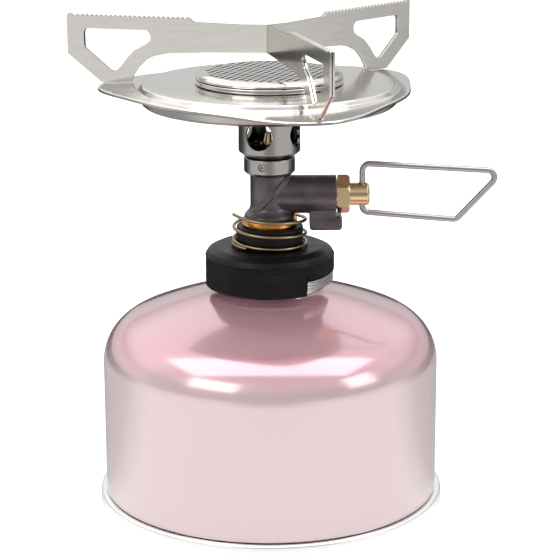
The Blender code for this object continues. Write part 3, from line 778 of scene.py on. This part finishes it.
# even angles round the circle, with a close pair at each edge angle
def anglesWith(count, *edges):
    even = np.linspace(-180, 180, count, endpoint=False)
    extra = np.concatenate([[edge + d for d in (-0.02, 0.02, 0.33, -0.33)] for edge in edges])
    return np.unique(np.round(np.concatenate([even, extra]), 4))


ring = {"bore": 10.8, "top": 77.5, "skirt": (17.5, 18.6), "foot": 72.1, "tab": (-54.2, 5.0), "tabOut": 19.9,
        "tabTop": 75.3, "tabLines": 3}


# a turned steel ring; between two angles its skirt is thicker and its face has three thin lines
def makeClampRing(values):
    inner, outer = values["skirt"]
    bore, top, foot, tabTop = values["bore"], values["top"], values["foot"], values["tabTop"]
    lines = []
    for k in range(values["tabLines"]):
        z = foot + (k + 0.75) * (tabTop - foot) / (values["tabLines"] + 0.5)
        lines += [(z - 0.16, 0.0), (z, 0.16), (z + 0.16, 0.0)]
    face = [(foot + 0.1, 0.1), (foot + 0.25, 0.0)] + lines + [(tabTop - 0.2, 0.0), (tabTop - 0.02, 0.15)]
    start = np.array([(bore, 75.9), (bore, top - 0.1), (bore + 0.1, top), (outer - 0.2, top),
                      (outer, top - 0.2), (outer, tabTop + 0.02)])
    tabFace = np.array([(outer, z) for z, cut in face[::-1]])
    cuts = np.array([cut for z, cut in face[::-1]])
    end = np.array([(outer - 0.1, foot), (inner + 0.1, foot), (inner, foot + 0.1), (inner, 75.7),
                    (inner - 0.2, 75.9)])
    profile = np.concatenate([start, tabFace, end])
    cut = np.concatenate([np.zeros(len(start)), cuts, np.zeros(len(end))])
    raised = np.concatenate([np.zeros(len(start)), np.ones(len(tabFace)), np.zeros(len(end))])

    def move(a, r, z):
        share = within(a, values["tab"])
        return r + share * (raised * (values["tabOut"] - outer) - cut), z + 0 * a

    mesh = sweptRing("clampRing", profile, anglesWith(180, *values["tab"]), move)
    return piece("clampRing", mesh, nickelTurned, "clamp", "clamp_ring")


collar = {"bore": 10.8, "radius": 20.3, "foot": 70.7, "top": 83.2, "ceiling": 77.8, "skirt": 18.9,
          "notch": (-55.0, 45.0), "notchTop": 75.6, "diamonds": 112, "knurlPitch": 1.14, "knurlDepth": 0.42,
          "knurlRows": (71.2, 80.3)}


# skirted ring with a knurled side. With p = diamonds a / 360 and q = z / pitch, the side's radius is radius -
# depth (1 - 2 min(d(p + q), d(p - q))), d being the distance to the nearest whole number
def makeCollar(values):
    low, high = values["knurlRows"]
    bore, top, out, foot = values["bore"], values["top"], values["radius"], values["foot"]
    skirt, ceiling = values["skirt"], values["ceiling"]
    shoulder = fillet([(bore, top, 0.25), (16.8, top, 2.6), (19.4, 82.0, 1.6), (out - 0.05, high + 0.15, 0.3),
                       (out, high - 1)], closed=False, steps=9)[:-1]
    rows = np.linspace(high, low, 40)
    parts = [
        held(shoulder, False),
        np.stack([np.full(len(rows), out), rows], 1),
        [(out - 0.1, low - 0.2), (out - 0.4, foot), (skirt + 0.15, foot), (skirt, foot + 0.15)],
        np.stack([np.full(8, skirt), np.linspace(foot + 0.6, ceiling, 8)], 1),
        [(bore + 0.2, ceiling), (bore, ceiling + 0.2)],
    ]
    profile = np.concatenate(parts)
    profile[0] = (bore, top - 0.25)
    knurled = np.repeat([0.0, 1.0, 0.0, 0.0, 0.0], [len(part) for part in parts])
    lifted = values["notchTop"] - foot

    def move(a, r, z):
        below = np.clip((ceiling - z) / (ceiling - foot), 0, 1)
        z = z + within(a, values["notch"]) * lifted * below
        p, q = values["diamonds"] * a / 360, z / values["knurlPitch"]
        toLine = [np.abs(v - np.round(v)) for v in (p + q, p - q)]
        dip = values["knurlDepth"] * (1 - 2 * np.minimum(*toLine))
        fade = np.clip((high + 0.05 - z) / 0.3, 0, 1)
        return r - knurled * fade * dip, z

    degrees = np.linspace(-180, 180, values["diamonds"] * 4, endpoint=False)
    mesh = sweptRing("lockCollar", profile, degrees, move)
    return piece("lockCollar", mesh, anodised, "collar", "lock_collar")


spring = {
    "wire": 0.52, "radii": (11.6, 11.1), "start": 232.0, "turn": -1117.0, "foot": 84.05, "closed": 300.0,
    "rise": (3.43, 0.33), "openEnd": (16, 0.55), "anchor": 94.7, "keep": 0.68,
}


# a coil: angle start + turn s, radius r0 + (r1 - r0) s, nearly flat over the closed turn and then rising by
# a u + b u squared in turns u; its last 16 degrees open out
def makeSpring(values):
    s = np.linspace(0, 1, 330)
    turned = np.abs(values["turn"]) * s
    angle = np.radians(values["start"] + values["turn"] * s)
    radius = values["radii"][0] + (values["radii"][1] - values["radii"][0]) * s
    span, outward = values["openEnd"]
    loose = np.clip((turned - (abs(values["turn"]) - span)) / span, 0, 1)
    radius = radius + outward * loose ** 2
    turns = np.maximum(0, turned - values["closed"]) / 360
    z = values["foot"] + 0.1 * np.minimum(turned, values["closed"]) / values["closed"]
    z = z + values["rise"][0] * turns + values["rise"][1] * turns ** 2
    path = np.stack([radius * np.cos(angle), radius * np.sin(angle), z], 1)
    mesh = tubeMesh("collarSpring", path, values["wire"], 14)
    coil = piece("collarSpring", mesh, springSteel, "stove", "collar_spring")
    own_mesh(coil)
    return coil


makeInsert(insert)
makeSleeve(sleeve)
makeClampRing(ring)
makeCollar(collar)
makeSpring(spring)
print("coupling, collar and spring made")

# the valve


valve = {
    "armZ": 99.4, "armRadius": 6.0, "armEnd": 20.8, "tube": 6.05, "foot": 7.9, "bottom": 92.2,
    "lug": ((12.4, -4.2, 88.5), (22.6, 4.2, 92.8)), "lugTop": ((12.4, -4.0, 89.5), (20.5, 4.0, 97.0)),
    "webWidth": 1.5, "webRise": 0.6, "grid": 0.2, "smooth": 5,
}


# cast tee: tube, arm, lug and slanted web joined, bored, then remeshed fine and smoothed so that its inner
# corners run together as a casting's do
def makeValveBody(values):
    z, bottom = values["armZ"], values["bottom"]
    out, wide, half = values["tube"], values["foot"], values["webWidth"] / 2
    tube = fillet([(0, 112.2), (5.0, 112.2), (5.0, 106.1), (out, 106.1, 0.3), (out, 95.2, 3.0),
                   (wide, 93.1, 0.4), (wide, bottom, 0.2), (0, bottom)], closed=False, steps=7)
    base = turnedMesh("castTube", tube, 96)
    slant = Matrix.Rotation(math.radians(-45), 4, "Y")
    slab = boxMesh("web", (-10.0, -7.2, z - half), (10.0, 7.2, z + half), 0, slant)
    shaft = barMesh("webRound", (0, 0, 93.0), (0, 0, 105.9), out + values["webRise"], 64, spin=2)
    web = combined("web", slab, [("INTERSECT", shaft)])
    joined = [
        ("UNION", barMesh("arm", (0, 0, z), (values["armEnd"], 0, z), values["armRadius"], 96, spin=1)),
        ("UNION", boxMesh("lugTop", *values["lugTop"])),
        ("UNION", boxMesh("lug", *values["lug"], 1.0)),
        ("UNION", web),
    ]
    cut = [
        ("DIFFERENCE", barMesh("glandBore", (15.0, 0, z), (22.0, 0, z), 5.0, 64)),
        ("DIFFERENCE", barMesh("spindleBore", (9.0, 0, z), (16.0, 0, z), 3.9, 64)),
        ("DIFFERENCE", barMesh("jetSocket", (0, 0, 107.0), (0, 0, 113.0), 2.6, 48)),
        ("DIFFERENCE", barMesh("inletSocket", (0, 0, 91.5), (0, 0, 94.3), 3.8, 48)),
    ]
    finishing = [
        ("REMESH", {"mode": "VOXEL", "voxel_size": values["grid"] * mm}),
        ("SMOOTH", {"factor": 0.5, "iterations": values["smooth"]}),
    ]
    mesh = combined("valveBody", base, joined + cut, finishing)
    return piece("valveBody", mesh, castBlack, "stove", "valve_body")


nut = {"start": 21.1, "end": 24.9, "corner": 6.15, "sleeve": 4.7, "bore": 3.84}


# hexagon with its corners up and down, chamfered both ways, and the sleeve that goes into the arm
def makeGlandNut(values):
    z = valve["armZ"]
    hexagon = barMesh("hexagon", (values["start"], 0, z), (values["end"], 0, z), values["corner"], 6)
    outward = barMesh("outward", (19.0, 0, z), (25.8, 0, z), 9.4, 96, tip=5.0)
    inward = barMesh("inward", (20.8, 0, z), (26.5, 0, z), 5.75, 96, tip=9.4)
    sleeved = barMesh("sleeved", (15.4, 0, z), (22.0, 0, z), values["sleeve"], 64, spin=3)
    bore = barMesh("bore", (14.0, 0, z), (26.0, 0, z), values["bore"], 64)
    steps = [("INTERSECT", outward), ("INTERSECT", inward), ("UNION", sleeved), ("DIFFERENCE", bore)]
    bevel = {"width": 0.09 * mm, "segments": 2, "limit_method": "ANGLE", "angle_limit": math.radians(25)}
    mesh = combined("glandNut", hexagon, steps, [("BEVEL", bevel)], 30)
    return piece("glandNut", mesh, brassTurned, "stove", "gland_nut")


rod = {
    "end": 31.1, "radius": 3.54, "groove": (17.9, 19.4), "holeX": 28.85, "hole": 1.25,
}


# a turned bar with a snap groove and a needle at its inner end, drilled across for the handle
def makeSpindle(values):
    out, groove = values["radius"], values["groove"]
    end = values["end"]
    profile = fillet([(0, end), (2.85, end, 0.25), (out, 30.35, 0.3), (out, groove[1], 0.1), (2.3, groove[1]),
                      (2.3, groove[0]), (out, groove[0], 0.1), (out, 13.5, 0.2), (2.2, 13.2),
                      (2.2, 11.0, 0.3), (0.75, 9.4), (0.35, 8.2, 0.1), (0, 8.2)], closed=False)
    z, x = valve["armZ"], values["holeX"]
    bar = turnedMesh("spindleBar", profile, 72, armZ=z)
    drill = barMesh("drill", (x, 0, z - 5), (x, 0, z + 5), values["hole"], 40)
    mesh = combined("spindleBar", bar, [("DIFFERENCE", drill)], sharp=30)
    return piece("spindleBar", mesh, brassTurned, "spindle", "spindle")


# a polyline whose inner corners are arcs of that radius, with even points on its straights
def roundedPath(corners, radius, steps=12, spacing=0.7):
    corners = [np.array(c, float) for c in corners]
    points = [corners[0]]
    for before, here, after in zip(corners, corners[1:], corners[2:]):
        back, on = before - here, after - here
        back, on = back / np.linalg.norm(back), on / np.linalg.norm(on)
        half = math.acos(back @ on) / 2
        reach = radius / math.tan(half)
        middle = (back + on) / np.linalg.norm(back + on)
        centre = here + middle * radius / math.sin(half)
        first, last = here + back * reach - centre, here + on * reach - centre
        sweep = math.pi - 2 * half
        straight = centre + first
        gap = max(1, int(np.linalg.norm(straight - points[-1]) / (spacing * 4)))
        points += [points[-1] + (straight - points[-1]) * k / gap for k in range(1, gap)]
        for t in np.linspace(0, 1, steps):
            share = (math.sin((1 - t) * sweep) * first + math.sin(t * sweep) * last) / math.sin(sweep)
            points.append(centre + share)
    points.append(corners[-1])
    return np.array(points)


handle = {
    "at": 28.85, "wire": 0.93, "bend": 2.3,
    "corners": [(0, 0, 0.45), (0, 0, 9.7), (43.8, 0, 7.1), (29.45, 0, -8.3), (0, 0, -5.75), (0, 0, -0.45)],
}


# one wire along a rounded path of corners, measured from the hole it pivots in
def makeHandle(values):
    path = roundedPath(values["corners"], values["bend"]) + np.array((values["at"], 0, valve["armZ"]))
    mesh = tubeMesh("handleWire", path, values["wire"], 20)
    return piece("handleWire", mesh, wireSatin, "handle", "handle_wire")


makeValveBody(valve)
makeGlandNut(nut)
makeSpindle(rod)
makeHandle(handle)
print("valve made")

# stem and jet


# a bar on the grub screw's line, between two distances from the axis
def screwBar(name, values, radius, start, end, sides=32):
    angle, z = values["screwAngle"], values["screwZ"]
    return barMesh(name, polarPoint(start, angle, z), polarPoint(end, angle, z), radius, sides)


stem = {
    "radius": 9.6, "wall": 8.5, "foot": 113.4, "shoulder": 127.6, "holeZ": 119.25, "holeRadius": 4.4,
    "holeAngle": -111.0, "screwAngle": -107.0, "screwZ": 109.3,
}


# a turned tube with four round air holes a quarter turn apart, and a smaller one for the grub screw
def makeStem(values):
    out, wall, shoulder = values["radius"], values["wall"], values["shoulder"]
    profile = fillet([(7.0, 131.2), (8.0, 131.2), (8.0, shoulder), (out, shoulder, 0.2),
                      (out, values["foot"], 0.35), (8.3, 112.3, 0.3), (6.4, 112.3), (6.4, 107.2),
                      (5.3, 107.2), (5.3, 114.2), (wall, 114.2, 0.5), (wall, 126.2), (7.0, 127.0)])
    tube = turnedMesh("burnerStem", profile, 160)
    drills = [("DIFFERENCE", screwBar("screwHole", values, 1.3, 4.9, 9.0))]
    for quarter in range(4):
        start, end = (polarPoint(r, values["holeAngle"] + 90 * quarter, values["holeZ"]) for r in (6.5, 11.5))
        drills.append(("DIFFERENCE", barMesh("airHole", start, end, values["holeRadius"], 72)))
    mesh = combined("burnerStem", tube, drills, sharp=32)
    return piece("burnerStem", mesh, nickelShadedBore, "stove", "burner_stem")


lockRing = {"bore": 6.75, "radius": 7.95, "footRadius": 7.35, "top": 111.5, "step": 107.1, "foot": 106.4}


# the turned ring under the stem, drilled on the grub screw's line
def makeLockRing(values, screw):
    bore, out, top, foot = values["bore"], values["radius"], values["top"], values["foot"]
    profile = fillet([(bore, top), (out, top, 0.3), (out, values["step"], 0.2),
                      (values["footRadius"], foot, 0.2), (bore, foot)])
    band = turnedMesh("stemLockRing", profile, 128)
    hole = screwBar("screwHole", screw, 1.2, 5.9, 9.0)
    mesh = combined("stemLockRing", band, [("DIFFERENCE", hole)], sharp=32)
    return piece("stemLockRing", mesh, nickelTurned, "stove", "stem_lock_ring")


# a short threaded pin with a six-sided socket in its outer face
def makeGrubScrew(values):
    pin = screwBar("grubScrew", values, 1.02, 5.3, 7.6)
    socket = screwBar("socket", values, 0.55, 6.6, 8.0, 6)
    bevel = {"width": 0.06 * mm, "segments": 2, "limit_method": "ANGLE"}
    mesh = combined("grubScrew", pin, [("DIFFERENCE", socket)], [("BEVEL", bevel)], 32)
    return piece("grubScrew", mesh, nickelTurned, "stove", "grub_screw")


jet = {
    "bore": 0.45, "tip": 1.3, "cone": 1.9, "body": 2.9, "shank": 2.3, "heights": (119.0, 116.0, 112.5, 107.3),
}


# the brass jet in the stem's foot: cone, body and shank turned round a bore, between the four heights
def makeJet(values):
    bore, body, shank = values["bore"], values["body"], values["shank"]
    top, low, step, foot = values["heights"]
    profile = fillet([(bore, top), (values["tip"], top, 0.2), (values["cone"], low, 0.2), (body, low, 0.2),
                      (body, step, 0.2), (shank, step), (shank, foot), (bore, foot)])
    mesh = turnedMesh("gasJet", profile, 48)
    return piece("gasJet", mesh, brassTurned, "stove", "jet")


makeStem(stem)
makeLockRing(lockRing, stem)
makeGrubScrew(stem)
makeJet(jet)
print("stem and jet made")

# the burner and its flame plate


dish = {"radius": 39.3, "z": 128.1, "rim": (40.9, 131.1), "sheet": 0.5}


# pressed dish under the burner: floor, a rounded bend and a flared rim, one sheet thick
def makeDish(values):
    out, z, t, rim = values["radius"], values["z"], values["sheet"], values["rim"]
    profile = fillet([(rim[0], rim[1], 0.1), (out, z + 0.8, 0.8), (out - 1.0, z, 0.9), (8.4, z), (8.4, z + t),
                      (out - 1.2, z + t, 0.6), (out - 0.5, z + 1.0, 0.6), (rim[0] - t, rim[1], 0.1)])
    mesh = turnedMesh("lowerDish", profile, 192)
    return piece("lowerDish", mesh, steelDark, "stove", "lower_dish")


bowl = {"band": 22.9, "bandRows": (134.8, 136.0), "wall": 20.8, "floor": 128.9, "hole": 8.3, "sheet": 0.8}


# turned cup under the cap: floor, wall and the flat band its cap rests on
def makeBowl(values):
    band, wall, floor, hole, t = (values[key] for key in ("band", "wall", "floor", "hole", "sheet"))
    low, high = values["bandRows"]
    profile = fillet([(wall - t, high, 0.1), (band - 0.1, high, 0.25), (band, low, 0.2), (wall, low, 0.1),
                      (wall, floor + 1.6, 0.8), (wall - 1.6, floor, 0.6), (hole, floor), (hole, floor + t),
                      (wall - 1.8, floor + t, 0.5), (wall - t, floor + 1.9, 0.5)])
    mesh = turnedMesh("burnerBowl", profile, 160)
    return piece("burnerBowl", mesh, steelShadedInside, "stove", "burner_bowl")


burner = {
    "top": 138.0, "cap": 20.4, "holePitch": 2.62, "hole": 0.80, "holeField": 18.9, "turn": 9.0, "holeSides": 12,
}


# pressed cap: flat top, rounded rim with a bead; punched on a triangular grid, out to the field's edge
def makeCap(values):
    top = values["top"]
    profile = fillet([(0, top), (values["cap"], top, 0.8), (21.9, 137.6, 0.5), (22.6, 136.9, 0.4),
                      (22.6, 136.3, 0.1), (22.0, 136.3, 0.1), (21.2, 137.2, 0.3), (0, top - 0.7)],
                     closed=False)
    disc = turnedMesh("burnerCap", profile, 160)
    pitch, field, hole, sides = (values[key] for key in ("holePitch", "holeField", "hole", "holeSides"))
    reach = int(field / pitch) + 2
    row, column = np.meshgrid(np.arange(-reach, reach + 1), np.arange(-reach, reach + 1), indexing="ij")
    x = (pitch * (column + row / 2)).ravel()
    y = (pitch * row * math.sin(math.radians(60))).ravel()
    turn = math.radians(values["turn"])
    x, y = x * math.cos(turn) - y * math.sin(turn), x * math.sin(turn) + y * math.cos(turn)
    kept = np.hypot(x, y) < field
    x, y = x[kept], y[kept]
    t = np.linspace(0, 2 * np.pi, sides, endpoint=False)
    circle = [x[:, None] + hole * np.cos(t), y[:, None] + hole * np.sin(t)]
    rings = [np.stack([*circle, np.full((len(x), sides), z)], -1) for z in (top - 2, top + 1)]
    points = np.concatenate([ring.reshape(-1, 3) for ring in rings]) * mm + axisPlace
    first = (np.arange(len(x)) * sides)[:, None]
    k, upper = np.arange(sides), len(x) * sides
    here, following = first + k, first + (k + 1) % sides
    walls = np.stack([here, following, upper + following, upper + here], -1).reshape(-1, 4)
    ends = (first + k[::-1]).tolist() + (upper + here).tolist()
    punch = bpy.data.meshes.new("punches")
    punch.from_pydata(points.tolist(), [], walls.tolist() + ends)
    mesh = combined("burnerCap", disc, [("DIFFERENCE", punch)], sharp=30)
    print("burner cap has", len(x), "holes")
    return piece("burnerCap", mesh, steelShadedHoles, "stove", "burner_cap")


plate = {
    "legs": (45.8, 165.8, 285.8), "round": 43.2, "lobe": 11.3, "lobeWidth": 25.0, "around": 360, "sheet": 0.5,
    "foot": 40.3, "slope": 0.06,
    "inner": [(21.1, 134.5), (30.0, 134.5), (39.2, 134.5, 0.7), (40.15, 133.0, 0.5)],
    "outer": [(-0.1, 133.0, 0.7), (0.0, 132.0)],
}


# round + lobe exp(-(away / width) squared), away being the angle to the nearest leg
def plateEdge(degrees, values):
    away = np.min([np.abs((degrees - leg + 180) % 360 - 180) for leg in values["legs"]], axis=0)
    return values["round"] + values["lobe"] * np.exp(-((away / values["lobeWidth"]) ** 2))


# a fixed raised middle and a rim that follows the lobed edge; the under side is the same section moved along
# its normals by the sheet's thickness
def makePlate(values):
    span = 50.0  # the drawn section's edge; the points outside its middle slide in or out with the real edge
    drawn = list(values["inner"]) + [(span + dr, z, *rounding) for dr, z, *rounding in values["outer"]]
    section = held(fillet(drawn, closed=False, steps=8), False)
    ahead = np.gradient(section, axis=0)
    ahead /= np.linalg.norm(ahead, axis=1, keepdims=True)
    under = section + values["sheet"] * np.stack([ahead[:, 1], -ahead[:, 0]], 1)
    profile = np.concatenate([section, under[::-1]])
    moves = profile[:, 0] > 45

    degrees = np.linspace(0, 360, values["around"], endpoint=False) + values["legs"][0]
    edge = plateEdge(degrees, values)[:, None]
    r = np.where(moves[None], profile[None, :, 0] - span + edge, profile[None, :, 0])
    z = profile[None, :, 1] - np.where(moves[None], values["slope"] * (edge - values["foot"]), 0)
    a = np.radians(degrees)[:, None]
    points = np.stack(np.broadcast_arrays(r * np.cos(a), r * np.sin(a), z), -1).reshape(-1, 3)
    mesh = meshOf("flamePlate", points, gridFaces(len(degrees), len(profile), True, True))
    return piece("flamePlate", mesh, steelSpun, "stove", "flame_plate")


makeDish(dish)
makeBowl(bowl)
makeCap(burner)
makePlate(plate)
print("burner made")

# the pot supports


support = {
    "reach": 65.0, "top": 153.8, "blade": 0.6, "gap": 0.3, "bend": 1.6, "toothPitch": 1.55, "toothDepth": 0.7,
    "firstTooth": 26.0, "flatEnd": 1.2, "edge": 0.07,
    "centre": (152.2, 143.7), "middle": [(8.6, 152.0), (23.8, 152.3, 2.0), (25.3, 153.5, 0.5)],
    "tail": [(65.0, 141.4, 0.8), (53.9, 132.55, 0.6), (44.2, 133.15, 0.5), (43.7, 135.0, 1.5),
             (42.0, 137.5, 3.0), (39.7, 139.8, 3.0), (36.6, 141.4, 4.0), (32.0, 142.4, 5.0),
             (20.0, 143.1, 5.0)],
    "window": [(38.8, 149.4, 1.2), (58.9, 149.4, 1.6), (59.5, 148.0, 1.0), (59.4, 143.4, 1.5),
               (51.6, 136.9, 0.6), (50.3, 136.2, 0.8), (49.0, 136.5, 0.8), (47.5, 138.0, 1.0),
               (45.4, 140.7, 2.0), (43.0, 143.1, 2.0), (39.4, 145.0, 1.2), (37.8, 146.2, 1.0),
               (37.7, 147.9, 1.0)],
}


# half of the blank as (distance from the axis, height): toothed top edge, end, foot and arch
def blankOutline(values):
    top, reach = values["top"], values["reach"]
    points = list(values["middle"])
    count = int((reach - values["flatEnd"] - values["firstTooth"]) / values["toothPitch"])
    for tooth in range(count):
        at = values["firstTooth"] + tooth * values["toothPitch"]
        points += [(at, top, 0.1), (at + 1.0, top - values["toothDepth"], 0.12)]
    points += [(reach - values["flatEnd"], top, 0.1), (reach, top, 0.4)]
    points += values["tail"]
    return fillet(points, closed=False, steps=5)


# flat blank to bent blank: within halfBend of the middle it lies on an arc of radius bend, beyond it on a
# straight that leaves at 60 degrees to either side
def bentPlace(along, offset, halfBend, start, bend):
    side = np.where(along >= 0, 1.0, -1.0)
    sixty = math.radians(60)
    centre = (offset + bend) / math.sin(sixty)
    turn = along / bend
    reach = start + np.abs(along) - halfBend
    onArc = np.abs(along) < halfBend
    x = np.where(onArc, centre - bend * np.cos(turn), reach * math.cos(sixty) + offset * math.sin(sixty))
    y = np.where(onArc, bend * np.sin(turn), side * (reach * math.sin(sixty) - offset * math.cos(sixty)))
    return x, y


# the flat blank with its two windows is filled, bent at its middle by bentPlace, turned to the angle middle
# about the axis and given the blade's thickness
def makeSupport(number, middle, values):
    offset = values["blade"] / 2 + values["gap"] / 2
    start = (offset + values["bend"]) / math.tan(math.radians(60))
    halfBend = values["bend"] * math.pi / 6

    def unrolled(points, side):
        return np.stack([side * (halfBend + points[:, 0] - start), points[:, 1]], 1)

    half = blankOutline(values)
    high, low = values["centre"]
    right = np.concatenate([[(0, high)], unrolled(half, 1), [(0, low)]])
    left = unrolled(half, -1)[::-1]
    window = fillet(values["window"], steps=6)
    blank = bmesh.new()
    for loop in (np.concatenate([right, left]), unrolled(window, 1), unrolled(window, -1)):
        corners = [blank.verts.new((u * mm, 0, z * mm)) for u, z in loop]
        for corner, following in zip(corners, corners[1:] + corners[:1]):
            blank.edges.new((corner, following))
    bmesh.ops.triangle_fill(blank, use_beauty=True, edges=blank.edges)
    for share in np.linspace(-1, 1, 11):
        bmesh.ops.bisect_plane(blank, geom=blank.verts[:] + blank.edges[:] + blank.faces[:], dist=1e-7,
                               plane_co=(share * halfBend * mm, 0, 0), plane_no=(1, 0, 0))
    bmesh.ops.recalc_face_normals(blank, faces=blank.faces)
    mesh = bpy.data.meshes.new("blank")
    blank.to_mesh(mesh)
    blank.free()
    flat = np.zeros(len(mesh.vertices) * 3)
    mesh.vertices.foreach_get("co", flat)
    flat = flat.reshape(-1, 3) / mm
    x, y = bentPlace(flat[:, 0], offset, halfBend, start, values["bend"])
    a = math.radians(middle)
    placed = np.stack([x * math.cos(a) - y * math.sin(a), x * math.sin(a) + y * math.cos(a), flat[:, 2]], 1)
    mesh.vertices.foreach_set("co", (placed * mm + axisPlace).ravel())
    mesh.update()
    name = f"potSupport{number}"
    bevel = {"width": values["edge"] * mm, "segments": 1, "limit_method": "ANGLE",
             "angle_limit": math.radians(50), "use_clamp_overlap": True}
    sheet = {"thickness": values["blade"] * mm, "offset": 0, "use_even_offset": True}
    mesh = combined(name, mesh, [], [("SOLIDIFY", sheet), ("BEVEL", bevel)], 25)
    return piece(name, mesh, steelBlade, "stove", f"pot_support_{number}")


for number, leg in enumerate(plate["legs"], 1):
    makeSupport(number, leg + 60, support)
print("supports made")

# what is left of the frame, and the end

nodeFinishes = {
    "valve_gasket": rubberBlack, "inlet_seal": rubberBlack, "spindle_seal": rubberBlack,
    "valve_housing": nylonPale, "valve_poppet": nylonPale, "poppet_spring": springSteel,
    "opening_pin": brassTurned, "inlet_filter": sinterBronze, "stem_nut": nickelTurned,
}
for name, finish in nodeFinishes.items():
    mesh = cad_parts[name].data
    mesh.materials.clear()
    mesh.materials.append(finish)
    shadeMesh(mesh, 35)
